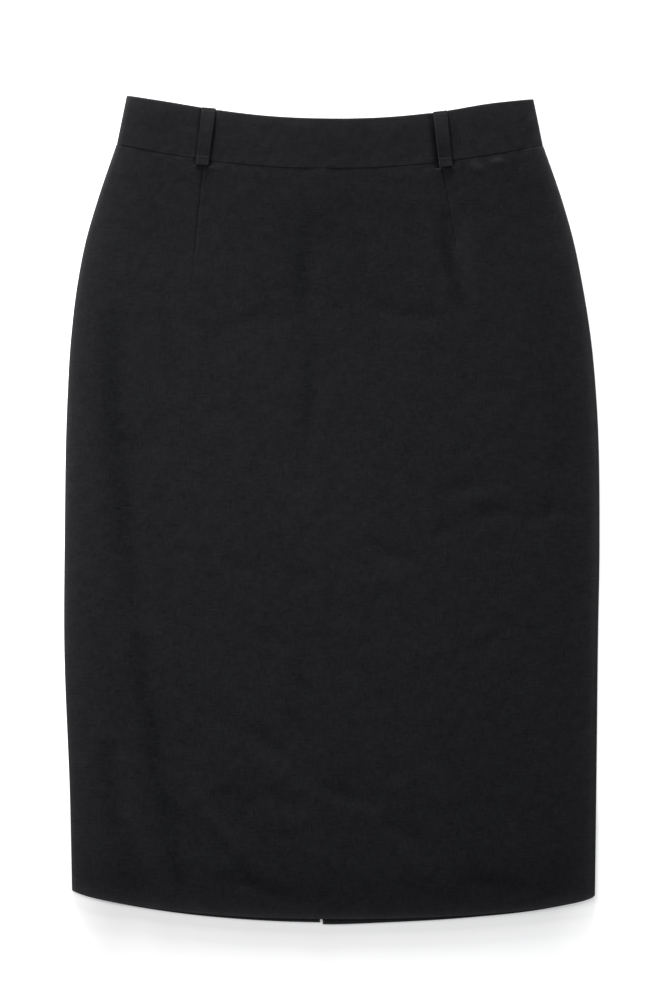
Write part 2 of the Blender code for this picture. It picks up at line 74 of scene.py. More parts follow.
camera_data = bpy.data.cameras.new("camera")
camera_data.lens = LENS
camera_data.sensor_width = SENSOR
camera = bpy.data.objects.new("camera", camera_data)
bpy.context.scene.collection.objects.link(camera)
camera_height = IMAGE_SIZE[1] * REAL_PIXEL * LENS / SENSOR + CLOTH_LEVEL
camera.location = (*CAMERA_OVER, camera_height)
bpy.context.scene.camera = camera
print(f"camera {camera_height:.2f} m above the table")


# %% Helpers for node trees
def feed(tree, node, inputs):
    """Gives each named input of a node a number, a colour or another node's output."""
    for name, value in inputs.items():
        if isinstance(value, bpy.types.NodeSocket):
            tree.links.new(value, node.inputs[name])
        else:
            node.inputs[name].default_value = value


def add_node(tree, kind, inputs=None, **settings):
    """A node with its settings and inputs."""
    made = tree.nodes.new("ShaderNode" + kind)
    for name, value in settings.items():
        setattr(made, name, value)
    feed(tree, made, inputs or {})
    return made


def maths(tree, operation, *values):
    """The output of a math node on up to three numbers or outputs."""
    return add_node(tree, "Math", dict(enumerate(values)), operation=operation).outputs[0]


def smooth_step(tree, value, start, end):
    """The output of a node that rises from 0 at start to 1 at end in a soft S."""
    inputs = {"Value": value, "From Min": start, "From Max": end}
    return add_node(tree, "MapRange", inputs, interpolation_type="SMOOTHSTEP").outputs[0]


def vary(tree, value, strength, base):
    """base + strength * (value - 0.5), for a value that runs from 0 to 1."""
    return maths(tree, "MULTIPLY_ADD", maths(tree, "SUBTRACT", value, 0.5), strength, base)


def noise(tree, place, scale, detail=1.0):
    """How strong a noise is at each place, from 0 to 1. Scale is its waves for each metre."""
    inputs = {"Vector": place, "Scale": scale, "Detail": detail}
    return add_node(tree, "TexNoise", inputs).outputs["Fac"]


def scaled(tree, vector, factor):
    """A colour or a vector times a number."""
    return add_node(tree, "VectorMath", {0: vector, "Scale": factor}, operation="SCALE").outputs[0]


def combined(tree, operation, first, second):
    """Two vectors or colours put together, number by number."""
    return add_node(tree, "VectorMath", {0: first, 1: second}, operation=operation).outputs[0]


def bumped(tree, height, distance, strength):
    """The normals of a surface that a height pattern raises by up to distance."""
    inputs = {"Height": height, "Distance": distance, "Strength": strength}
    return add_node(tree, "Bump", inputs).outputs["Normal"]


# %% The floor and its painted glow
FLOOR_SIZE, FLOOR_BELOW = 16.0, 0.05 * MM
FLOOR_WHITE = 0.9
GLOW_AT_HEM, GLOW_ELSEWHERE = 0.160, 0.62
GLOW_TILT = 0.34  # how much more it glows in the patch for each metre to the right
PATCH_SIDES = (0.178, 0.270)  # distances from the middle between which the dim patch fades out
PATCH_TOP, PATCH_BOTTOM = (-0.31, -0.22), (0.36, 0.46)  # the same for y, and for -y at its far end


def studio_floor():
    """A wide white floor, just under the skirt, whose glow is painted light. The glow is even and strong,
    apart from a dim patch below the hem where the lamps' shadow shows. Smooth steps lead out of the
    patch to both sides, up under the skirt and down past the end of the shadow. In the patch the glow
    rises in proportion to x, which makes up for the lamps' falloff towards the right."""
    half = FLOOR_SIZE / 2
    mesh = bpy.data.meshes.new("floor")
    corners = [(-half, -half, 0), (half, -half, 0), (half, half, 0), (-half, half, 0)]
    mesh.from_pydata(corners, [], [(0, 1, 2, 3)])
    made = bpy.data.objects.new("floor", mesh)
    made.location.z = -FLOOR_BELOW
    finish = bpy.data.materials.new("floor_painted_glow")
    finish.use_nodes = True
    tree = finish.node_tree
    x, y = add_node(tree, "SeparateXYZ", {0: add_node(tree, "TexCoord").outputs["Object"]}).outputs[:2]
    # Painted light: the floor glows strongly, except in a dim patch below the hem where the shadow shows.
    # In that patch the glow rises to the right to make up for the lamps' falloff.
    beside = smooth_step(tree, maths(tree, "ABSOLUTE", x), *PATCH_SIDES)
    above = smooth_step(tree, y, *PATCH_TOP)
    below = smooth_step(tree, maths(tree, "MULTIPLY", y, -1.0), *PATCH_BOTTOM)
    outside = maths(tree, "MAXIMUM", maths(tree, "MAXIMUM", beside, above), below)
    patch = maths(tree, "MULTIPLY_ADD", x, GLOW_TILT, GLOW_AT_HEM)
    glow = maths(tree, "MULTIPLY_ADD", maths(tree, "SUBTRACT", GLOW_ELSEWHERE, patch), outside, patch)
    feed(tree, tree.nodes["Principled BSDF"], {
        "Base Color": (FLOOR_WHITE, FLOOR_WHITE, FLOOR_WHITE, 1.0), "Roughness": 0.95,
        "Specular IOR Level": 0.1, "Emission Color": (1.0, 1.0, 1.0, 1.0), "Emission Strength": glow,
    })
    mesh.materials.append(finish)
    bpy.context.scene.collection.objects.link(made)


studio_floor()
print("table glow below the hem and elsewhere:", GLOW_AT_HEM, GLOW_ELSEWHERE)

# %% Sky and lights
SKY_COLOUR, SKY_LEVEL = (0.96, 0.98, 1.0, 1.0), 0.36
LIGHTS = (  # name, place, size, level, colour
    ("box_above", (-0.30, 0.10, 0.50), (0.35, 0.35), 0.42, (1.0, 0.97, 0.98)),
    ("panel_low_beyond_waist", (-0.35, 3.00, 0.27), (1.8, 0.24), 0.272, (1.0, 1.0, 1.0)),
    ("panel_above_it", (-0.35, 3.00, 0.60), (1.8, 0.42), 0.172, (1.0, 1.0, 1.0)),
    ("panel_left", (-2.60, 0.30, 0.60), (1.2, 0.40), 0.14, (1.0, 1.0, 1.0)),
)


def soft_box(name, place, size, level, colour):
    """An area light at place that faces the skirt. On a white sheet at the origin, a small source
    of power P at distance r and elevation e makes a radiance of P sin(e) / (pi^2 r^2)."""
    place = Vector(place)
    data = bpy.data.lights.new(name, "AREA")
    data.shape = "RECTANGLE"
    data.size, data.size_y = size
    data.energy = level * np.pi**2 * place.length**3 / place.z
    data.color = colour
    made = bpy.data.objects.new(name, data)
    made.location = place
    made.rotation_euler = (-place).to_track_quat("-Z", "Y").to_euler()
    made.visible_camera = False
    bpy.context.scene.collection.objects.link(made)


world = bpy.data.worlds.new("sky")
bpy.context.scene.world = world
world.use_nodes = True
feed(world.node_tree, world.node_tree.nodes["Background"], {"Color": SKY_COLOUR, "Strength": SKY_LEVEL})
bpy.context.scene.view_settings.view_transform = "Standard"
for light in LIGHTS:
    soft_box(*light)
print("lights:", [light[0] for light in LIGHTS])

# %% [markdown]
# ## The cut
#
# A maker drafts a skirt as lines on paper: the side lines, the waist seam, the hem, the darts.
# The same few measures, in millimetres, drive every surface below, so that pieces which are sewn
# together share one line.


# %% Measures of the cut
def table(columns, *rows):
    """Named columns of millimetres with a row for each section or crease, as arrays in metres."""
    return dict(zip(columns.split(), np.array(rows, dtype=float).T * MM))


PANEL_WALL = 1.2 * MM
BAND_WALL = 1.3 * MM
LOOP_WALL = 1.2 * MM
SPREAD = 0.4 * MM  # how far the soft edges of the cloth reach past the lines of the cut
SEWN_GAP = 0.04 * MM  # what is left between two edges that a seam draws together
CENTRE_BACK = -9.0 * MM

SIDES = table(
    "height right left",
    (-325.0, 218.1, 220.7),
    (-243.0, 219.9, 221.8),
    (-109.0, 224.8, 223.3),
    (-25.0, 224.4, 224.6),
    (93.0, 222.1, 222.0),
    (143.0, 219.2, 217.5),
    (193.0, 213.2, 209.6),
    (227.0, 206.5, 202.6),
    (261.0, 196.6, 193.0),
    (307.0, 181.0, 177.0),
)
BAND = table(
    "top_x top_y seam_x seam_y",
    (-172.6, 348.6, -181.0, 307.4),
    (-136.1, 342.8, -141.5, 299.7),
    (-105.0, 337.6, -109.2, 294.3),
    (-52.0, 331.1, -54.0, 288.5),
    (0.0, 328.9, 0.0, 286.9),
    (46.0, 330.3, 48.0, 288.2),
    (91.2, 334.9, 95.9, 292.8),
    (132.7, 341.7, 139.0, 299.1),
    (169.4, 345.6, 177.4, 306.0),
)
HEM = table(
    "across back front",
    (-218.6, -319.4, -319.2),
    (-210.0, -322.8, -322.6),
    (-195.0, -326.8, -326.6),
    (-170.0, -331.9, -331.2),
    (-136.0, -337.3, -336.0),
    (-69.0, -343.9, -341.6),
    (-9.0, -346.9, -343.2),
    (49.0, -345.9, -342.9),
    (116.0, -341.9, -340.0),
    (183.0, -334.1, -333.4),
    (205.0, -329.6, -329.4),
    (213.0, -327.5, -327.3),
    (219.0, -325.0, -324.9),
    (222.0, -322.8, -322.8),
)
HEM_STEP, HEM_STEP_REACH = 0.8 * MM, 40.0 * MM
OPENING = table(
    "height half_gap",
    (-348.0, 1.30),
    (-330.0, 0.80),
    (-200.0, 0.15),
    (287.0, 0.15),
    (324.0, 1.00),
    (331.0, 1.15),
)
DARTS = table(
    "top_x top_y tip_x tip_y",
    (-107.5, 294.0, -117.2, 200.0),
    (91.9, 292.5, 106.5, 210.0),
)
print("skirt length at the middle:", round((BAND["top_y"][4] - HEM["back"][6]) / MM), "mm")


# %% Lines of the cut
SETTLING_TURNS = 12
HIP_HEIGHT = -25.0 * MM


def follow(at, values, where):
    """A smooth curve through (at, values): cubic pieces, with each slope taken from both neighbours."""
    slopes = np.gradient(values, at)
    i = np.clip(np.searchsorted(at, where) - 1, 0, len(at) - 2)
    step = at[i + 1] - at[i]
    t = np.clip((where - at[i]) / step, 0.0, 1.0)
    rise = values[i + 1] - values[i]
    bend = (slopes[i] + slopes[i + 1]) * step - 2 * rise
    lean = 3 * rise - (2 * slopes[i] + slopes[i + 1]) * step
    return values[i] + t * (slopes[i] * step + t * (lean + t * bend))


def ramp(distance, inner, outer):
    """1 up to the inner distance, 0 from the outer one on, and a soft S, 3t^2 - 2t^3, between them."""
    t = np.clip((outer - distance) / (outer - inner), 0.0, 1.0)
    return t * t * (3 - 2 * t)


def bell(distance, reach):
    """A bell curve: 1 at no distance, 0.37 at its reach and nearly 0 at twice that."""
    return np.exp(-((distance / reach) ** 2))


def side_line(side, inset=0.0):
    """x of the wearer's right or left edge at each height, moved inwards square to itself by inset."""
    outwards = 1.0 if side == "left" else -1.0

    def line(y):
        reach = follow(SIDES["height"], SIDES[side], y) + SPREAD
        slope = (follow(SIDES["height"], SIDES[side], y + MM) + SPREAD - reach) / MM
        return outwards * (reach - inset * np.sqrt(1 + slope**2))

    return line


def band_seam(x):
    return follow(BAND["seam_x"], BAND["seam_y"], x)


def band_top(x):
    return follow(BAND["top_x"], BAND["top_y"], x)


def front_hem(x):
    return follow(HEM["across"], HEM["front"], x) - SPREAD


def back_hem(x):
    """The back's hem, which steps down from the right panel to the left one at the slit."""
    step = HEM_STEP * bell(x - CENTRE_BACK, HEM_STEP_REACH)
    return follow(HEM["across"], HEM["back"], x) - SPREAD - np.sign(x - CENTRE_BACK) * step


def dart_line(number):
    """x of one dart at each height. Below its tip the line goes straight down to the hem."""
    tip_y, top_y = DARTS["tip_y"][number], DARTS["top_y"][number]
    tip_x, top_x = DARTS["tip_x"][number], DARTS["top_x"][number]
    return lambda y: np.interp(y, (tip_y, top_y), (tip_x, top_x))


def band_share(x, y):
    """How far up the waistband a point lies: 0 at its seam and 1 at its top edge."""
    return np.clip((y - band_seam(x)) / (band_top(x) - band_seam(x)), 0.0, 1.0)


def lay_out(guides, station, offset, bottom, top, up):
    """Points of a piece between a bottom and a top line. Column j lies at station[j] among the
    guide lines, 0 on the first and 1 on the second, so x is the sum over the guides k of
    max(0, 1 - |station - k|) * guide_k(y), plus offset[j]. A row lies at its share up of the way:
    y = bottom(x) + up * (top(x) - bottom(x)). x needs y and y needs x, so both settle in a few turns."""
    y = np.zeros((len(up), len(station)))
    for _ in range(SETTLING_TURNS):
        weights = [np.clip(1 - np.abs(station - k), 0.0, 1.0) for k in range(len(guides))]
        x = sum(weight * guide(y) for weight, guide in zip(weights, guides)) + offset
        y = bottom(x) + np.asarray(up)[:, None] * (top(x) - bottom(x))
    return x, y


widest = float(side_line("left")(HIP_HEIGHT) - side_line("right")(HIP_HEIGHT))
print("width across the hips:", round(widest / MM), "mm")


# %% [markdown]
# ## Creases
#
# Cloth that has been worn and laid down keeps soft troughs and ridges. They could be simulated,
# but a simulation never gives a chosen set of creases. So each one is given as an arc through
# three points with its own reach and depth, and a faint ripple lies under them all.


# %% Main folds of the front
FOLDS = table(
    "start_x start_y mid_x mid_y end_x end_y reach depth",
    (-188, 175, -180, 40, -168, -95, 12, 1.30),
    (-166, -95, -150, -205, -122, -335, 9, 1.60),
    (-196, -190, -180, -265, -158, -330, 9, 0.90),
    (-176, -200, -163, -262, -132, -335, 8, -0.80),
    (-38, 178, -72, 157, -125, 160, 8.8, 0.27),
    (8, 190, 44, 170, 102, 166, 8.8, 0.27),
    (92, 255, 99, 210, 110, 165, 6, 0.80),
    (112, 250, 117, 210, 126, 160, 7, -0.70),
    (78, 16, 105, 22, 152, 40, 8.8, 0.15),
    (82, -20, 122, -3, 192, 6, 8.8, 0.19),
    (92, 8, 112, 12, 150, 22, 7.7, -0.11),
    (98, -118, 126, -106, 170, -72, 8.8, 0.17),
    (-18, -28, 30, -34, 84, -30, 8.8, 0.13),
    (-122, -150, -82, -178, -38, -202, 8.8, 0.24),
    (-44, -160, -26, -180, -12, -206, 6.6, 0.19),
    (-40, -212, -2, -228, 52, -240, 8.8, 0.27),
    (-62, -206, -38, -224, -8, -240, 7.7, -0.17),
    (-118, -244, -98, -278, -62, -314, 8.8, 0.29),
    (-98, -300, -66, -316, -24, -328, 7.7, 0.22),
    (-66, -226, -48, -238, -28, -252, 7.7, 0.22),
    (34, -258, 60, -269, 92, -290, 8.8, 0.22),
    (98, -306, 122, -308, 150, -316, 7.7, 0.17),
)
print("main folds:", len(FOLDS["reach"]))

# %% Finer creases of the front
CREASES = table(
    "start_x start_y mid_x mid_y end_x end_y reach depth",
    (-20, 252, -12, 232, -20, 200, 5.5, 0.18),
    (-20, 200, -25, 182, -27, 160, 5.5, 0.15),
    (-18, 140, -16, 110, -20, 62, 6.4, 0.22),
    (-168, 66, -160, 62, -150, 55, 9.2, 0.24),
    (-152, 18, -145, 12, -138, 4, 8.3, 0.20),
    (-108, 90, -102, 86, -94, 80, 7.4, 0.24),
    (-98, 58, -88, 56, -78, 58, 7.4, 0.20),
    (-36, 32, -28, 27, -18, 20, 6.4, 0.20),
    (-84, -40, -72, -45, -60, -45, 7.4, 0.24),
    (-42, -46, -28, -53, -12, -56, 7.4, 0.30),
    (-114, -30, -108, -33, -100, -38, 6.4, 0.20),
    (-68, -93, -54, -104, -38, -112, 8.3, 0.30),
    (-92, -120, -85, -122, -76, -126, 6.4, 0.20),
    (-132, 34, -124, 26, -118, 8, 9.2, -0.20),
    (92, 21, 110, 23, 127, 25, 5.5, 0.24),
    (83, -15, 92, -15, 102, -13, 5.5, 0.24),
    (112, -10, 130, 2, 148, 0, 6.4, 0.24),
    (128, 100, 140, 104, 152, 105, 6.4, 0.20),
    (98, 47, 106, 51, 114, 53, 5.5, 0.20),
    (180, 45, 186, 40, 190, 30, 7.4, 0.18),
    (158, -5, 175, 0, 194, 6, 7.4, 0.30),
    (120, -37, 134, -27, 148, -17, 7.4, 0.30),
    (18, -20, 40, -32, 67, -39, 6.4, 0.24),
    (125, -108, 133, -105, 142, -102, 5.5, 0.20),
    (113, -106, 127, -99, 142, -91, 7.4, -0.24),
    (34, -48, 46, -51, 60, -52, 8.3, -0.20),
    (-190, -250, -180, -275, -170, -310, 6.4, 0.30),
    (-90, -230, -83, -235, -76, -239, 5.5, 0.24),
    (-56, -229, -48, -237, -36, -248, 5.5, 0.30),
    (-116, -249, -100, -275, -86, -294, 6.4, 0.30),
    (-86, -294, -75, -305, -62, -306, 6.4, 0.24),
    (-92, -311, -64, -315, -30, -329, 5.5, 0.30),
    (-113, -244, -90, -268, -63, -283, 8.3, -0.30),
    (-32, -138, -25, -148, -18, -157, 5.5, 0.20),
    (-42, -166, -28, -180, -17, -197, 5.5, 0.24),
    (-77, -178, -60, -190, -43, -201, 6.4, 0.30),
    (-60, -204, -35, -222, -13, -239, 6.4, -0.24),
    (-12, -226, 12, -239, 47, -244, 5.5, 0.30),
    (-36, -283, -30, -285, -22, -288, 5.5, 0.20),
    (38, -257, 62, -271, 85, -291, 5.5, 0.30),
    (78, -246, 87, -249, 97, -251, 5.5, 0.20),
    (108, -308, 128, -311, 152, -318, 5.5, 0.20),
    (82, -296, 88, -298, 95, -301, 5.5, 0.20),
    (114, -297, 120, -298, 127, -300, 5.5, 0.20),
    (94, -186, 100, -187, 108, -188, 6.4, 0.20),
    (43, -206, 52, -215, 62, -223, 6.4, 0.24),
    (42, -232, 50, -230, 60, -229, 7.4, -0.20),
    (20, -277, 27, -275, 35, -276, 7.4, -0.20),
    (118, 291, 122, 288, 127, 286, 2.8, -0.30),
    (134, 297, 138, 294, 143, 292, 2.8, -0.30),
    (12, 188, 45, 171, 96, 165, 4.6, 0.17),
    (-44, 190, -62, 168, -102, 158, 5.8, 0.20),
    (0, 4, 6, 8, 13, 11, 3.4, 0.13),
)
print("finer creases:", len(CREASES["reach"]))

# %% Painted shade and highlights along creases: no deeper, only darker or lighter in colour
# Each row is a stroke of painted shade, or of painted highlight where its depth is negative.
PAINTED_SHADING_MARKS = table(
    "start_x start_y mid_x mid_y end_x end_y reach depth",
    (-17, 264, -27, 205, -20, 150, 7, 1.9),
    (-19, 160, -20, 105, -26, 35, 6, 1.5),
    (-187, 210, -186, 130, -184, 58, 11, 1.0),
    (-202, 64, -180, 63, -154, 61, 7, 0.9),
    (-178, 60, -172, -20, -164, -130, 12, 0.8),
    (-141, 192, -141, 150, -139, 102, 6, 0.7),
    (-108, 180, -108, 140, -106, 100, 6, 0.4),
    (92, 246, 99, 206, 114, 163, 6, 1.3),
    (103, 244, 110, 205, 120, 166, 5, -0.9),
    (-10, 250, -8, 160, -8, 70, 6, -0.4),
    (-152, -160, -148, -185, -144, -210, 6, 1.5),
    (-142, -232, -134, -250, -124, -262, 8, 1.7),
    (-136, -285, -128, -305, -120, -327, 6, 1.2),
    (-112, -262, -96, -286, -78, -300, 5, -0.8),
    (-97, -226, -84, -236, -72, -244, 8, 0.8),
    (170, 200, 186, 110, 190, 20, 12, 0.5),
    (-100, 215, -5, 205, 75, 215, 50, 0.7),
    (-165, -225, -176, -250, -160, -278, 7, -0.8),
    (-160, -275, -150, -302, -128, -332, 6, -1.2),
    (-115, -195, -110, -245, -90, -268, 8, -0.8),
    (-92, -268, -80, -278, -62, -286, 6, -0.7),
    (-98, -228, -86, -243, -70, -256, 10, 0.9),
    (-72, -260, -45, -272, -12, -262, 8, 1.0),
    (-68, -285, -40, -298, -6, -292, 4.5, 0.8),
    (-60, -302, -38, -306, -18, -312, 5, -0.7),
    (-64, -246, -52, -252, -40, -256, 5, -0.9),
    (-114, -150, -90, -166, -70, -188, 5, 0.6),
    (-44, -160, -28, -182, -14, -200, 4, 0.7),
    (-32, -132, -28, -142, -20, -156, 6, 0.6),
    (-60, -168, -80, -170, -52, -178, 8, -0.5),
    (175, 52, 186, 44, 192, 34, 9, 0.45),
    (156, -18, 163, -22, 170, -28, 9, -0.6),
    (88, -36, 94, -40, 100, -38, 8, -0.6),
    (38, -50, 56, -54, 76, -52, 6, -0.6),
    (96, 80, 112, 76, 130, 82, 9, -0.4),
    (74, -240, 84, -250, 98, -250, 5, 0.8),
    (84, -272, 92, -276, 100, -278, 8, -0.6),
    (112, -110, 130, -96, 160, -78, 5, -0.5),
    (90, -270, 140, -255, 185, -230, 55, 0.6),
    (-120, -262, -95, -290, -55, -316, 6, 0.8),
    (-165, -321, -110, -328, -60, -336, 12, -1.3),
    (-45, -15, 0, 0, 45, -15, 45, -0.5),
    # Painted highlights on two puckers below the seam, and painted shade between them.
    (115, 293, 121, 290.5, 129, 287, 2.3, -5.2),
    (131, 293, 138, 294.4, 145, 295, 2.1, -5.2),
    (126, 293, 128, 292, 131, 292, 1.8, 2.0),
)
print("marks:", len(PAINTED_SHADING_MARKS["reach"]))

# %% Creases of the back
BACK_CREASES = table(
    "start_x start_y mid_x mid_y end_x end_y reach depth",
    (-190, 120, -176, 10, -180, -110, 18, 0.30),
    (182, 150, 172, 30, 178, -90, 17, 0.28),
    (-120, 150, -76, 138, -34, 152, 12, 0.26),
    (28, 140, 70, 128, 118, 146, 12, 0.28),
    (-150, 40, -104, 22, -46, 34, 13, 0.30),
    (20, 30, 66, 14, 128, 26, 13, 0.30),
    (-140, -60, -92, -84, -38, -76, 14, 0.28),
    (22, -66, 78, -92, 136, -80, 14, 0.30),
    (-150, -170, -118, -236, -84, -322, 14, 0.32),
    (148, -180, 118, -244, 92, -326, 14, 0.32),
    (-66, -196, -44, -220, -18, -232, 11, 0.24),
    (8, -214, 34, -232, 70, -240, 11, 0.24),
)
print("creases of the back:", len(BACK_CREASES["reach"]))

# %% The shape of a crease
CREASE_STEPS = 9  # how many points of an arc are tried before the nearest one is refined
LEE = (0.45, -0.6)  # how far the hollow lies beyond its shaded side, in x and y, in reaches


def crease(x, y, row, lee):
    """One crease: depth * exp(-(d / reach)^2) * sin(pi t)^0.6, where d is the distance to the arc and t
    is how far along the arc its nearest point lies. The arc is the parabola a + b t + c t^2 through
    the row's three points. The nearest of a few points on it starts two steps of Newton's rule,
    t - (p . p') / (p' . p' + p . p''), with p the way from the place to the arc. The tables give the
    line where the cloth turns away from the light, and the hollow lies a little beyond it."""
    ends = ("start", "mid", "end")
    start, mid, end = (np.array((row[name + "_x"], row[name + "_y"])) for name in ends)
    c = 2 * start + 2 * end - 4 * mid
    b = end - start - c
    place = np.stack((x - lee[0] * row["reach"], y - lee[1] * row["reach"]), axis=-1)
    some = np.linspace(0.0, 1.0, CREASE_STEPS)
    arc_points = start + some[:, None] * (b + some[:, None] * c)
    square = sum((place[..., i, None] - arc_points[:, i]) ** 2 for i in (0, 1))
    t = some[square.argmin(axis=-1)][..., None]
    for _ in range(2):
        way, speed = start + t * (b + t * c) - place, b + 2 * t * c
        bend = (speed**2).sum(axis=-1, keepdims=True) + (way * 2 * c).sum(axis=-1, keepdims=True)
        t = t - (way * speed).sum(axis=-1, keepdims=True) / np.maximum(bend, (b**2).sum() / 4)
        t = np.clip(t, 0.0, 1.0)
    distance = ((start + t * (b + t * c) - place) ** 2).sum(axis=-1)
    fade = np.maximum(np.sin(np.pi * t[..., 0]), 0.0) ** 0.6
    return row["depth"] * np.exp(-distance / row["reach"] ** 2) * fade


def creases(rows, x, y, lee=LEE):
    """The sum of all creases of a table, troughs positive."""
    columns = list(rows)
    depth = np.zeros_like(x)
    for values in zip(*rows.values()):
        depth += crease(x, y, dict(zip(columns, values)), lee)
    return depth


print("deepest fold, mm:", round(float(FOLDS["depth"].max()) / MM, 2))

# %% Ripple of pressed cloth
RIPPLE_WAVES, RIPPLE_HEIGHT = 28, 0.04 * MM
RIPPLE_LENGTHS, PUCKER_LENGTHS = (11 * MM, 34 * MM), (8 * MM, 17 * MM)
PUCKER_REACH = 14 * MM


def ripple(x, y, lengths, seed):
    """Plane waves height * sin(2 pi (x cos a + y sin a) / length + start), whose directions a, lengths
    and starts are drawn from a seeded generator. Their sum over sqrt(count / 2) is as rough as one."""
    draw = np.random.default_rng(seed)
    total = np.zeros_like(x)
    for angle, length, start in zip(
        draw.uniform(0.0, np.pi, RIPPLE_WAVES),
        draw.uniform(*lengths, RIPPLE_WAVES),
        draw.uniform(0.0, 2 * np.pi, RIPPLE_WAVES),
    ):
        total += np.sin(2 * np.pi * (x * np.cos(angle) + y * np.sin(angle)) / length + start)
    return RIPPLE_HEIGHT * total / np.sqrt(RIPPLE_WAVES / 2)


def unevenness(x, y):
    """What front and band share: a ripple all over, and puckers that fade away from their seam."""
    from_seam = np.abs(band_seam(x) - y)
    pucker = ripple(x, y, PUCKER_LENGTHS, seed=6) * ramp(from_seam, 0.0, PUCKER_REACH)
    return ripple(x, y, RIPPLE_LENGTHS, seed=5) + pucker


across_front = np.linspace(-0.2, 0.2, 81)
print("ripple, mm:", round(float(np.ptp(unevenness(across_front, 0.0 * across_front))) / MM, 2))

# %% [markdown]
# ## Cloth with two faces and round edges
#
# A pressed edge of suiting isn't a knife edge: the cloth is folded over, and the fold is as round
# as the two layers are thick. Solidify would give every sheet square rims, and a bevel on them
# would be cut short wherever the grid is fine. So one function builds the whole closed shell,
# outer face, inner face and round rim, from the grid of the outer face.


# %% Helper: a mesh from arrays
def mesh_object(name, points, faces, finish):
    """A mesh from an array of points and arrays of faces, one array for each number of corners."""
    mesh = bpy.data.meshes.new(name)
    mesh.vertices.add(len(points))
    mesh.vertices.foreach_set("co", np.ascontiguousarray(points, dtype=np.float32).ravel())
    corners = np.concatenate([part.ravel() for part in faces]).astype(np.int32)
    sizes = np.concatenate([np.full(len(part), part.shape[1]) for part in faces])
    mesh.loops.add(len(corners))
    mesh.loops.foreach_set("vertex_index", corners)
    mesh.polygons.add(len(sizes))
    mesh.polygons.foreach_set("loop_start", (np.cumsum(sizes) - sizes).astype(np.int32))
    mesh.update(calc_edges=True)
    mesh.shade_smooth()
    mesh.materials.append(finish)
    made = bpy.data.objects.new(name, mesh)
    bpy.context.scene.collection.objects.link(made)
    return made


def grid_faces(index):
    """Quads of a grid of vertex numbers, facing out where columns run right and rows run up."""
    low_left, low_right = index[:-1, :-1], index[:-1, 1:]
    up_left, up_right = index[1:, :-1], index[1:, 1:]
    return np.stack((low_left, low_right, up_right, up_left), axis=-1).reshape(-1, 4)


def paint(made, name, values):
    """Stores one number for each vertex as an attribute that a material can read."""
    layer = made.data.attributes.new(name, "FLOAT", "POINT")
    layer.data.foreach_set("value", np.ascontiguousarray(values, dtype=np.float32).ravel())


def lay_grain(made, grain):
    """Stores the threads' directions as a UV map in metres: U along the weft, V along the warp."""
    corner = np.empty(len(made.data.loops), dtype=np.int32)
    made.data.loops.foreach_get("vertex_index", corner)
    layer = made.data.uv_layers.new(name="grain")
    layer.data.foreach_set("uv", np.ascontiguousarray(grain[corner], dtype=np.float32).ravel())


def unit(vectors):
    return vectors / np.maximum(np.linalg.norm(vectors, axis=-1, keepdims=True), 1e-12)


# %% Helper: the shell of a piece of cloth
RIM_ANGLES = np.radians((0.0, 30.0, 60.0, 90.0))
TIGHT = 0.5  # width of the rim of a seamed edge, beside a free one
PANEL_RIMS, BAND_RIMS = (1.0, TIGHT, 1.0, 1.0), (TIGHT, 1.0, 1.0, 1.0)
GRAIN_MIDDLE = 0.5  # the grain map is centred in the UV square


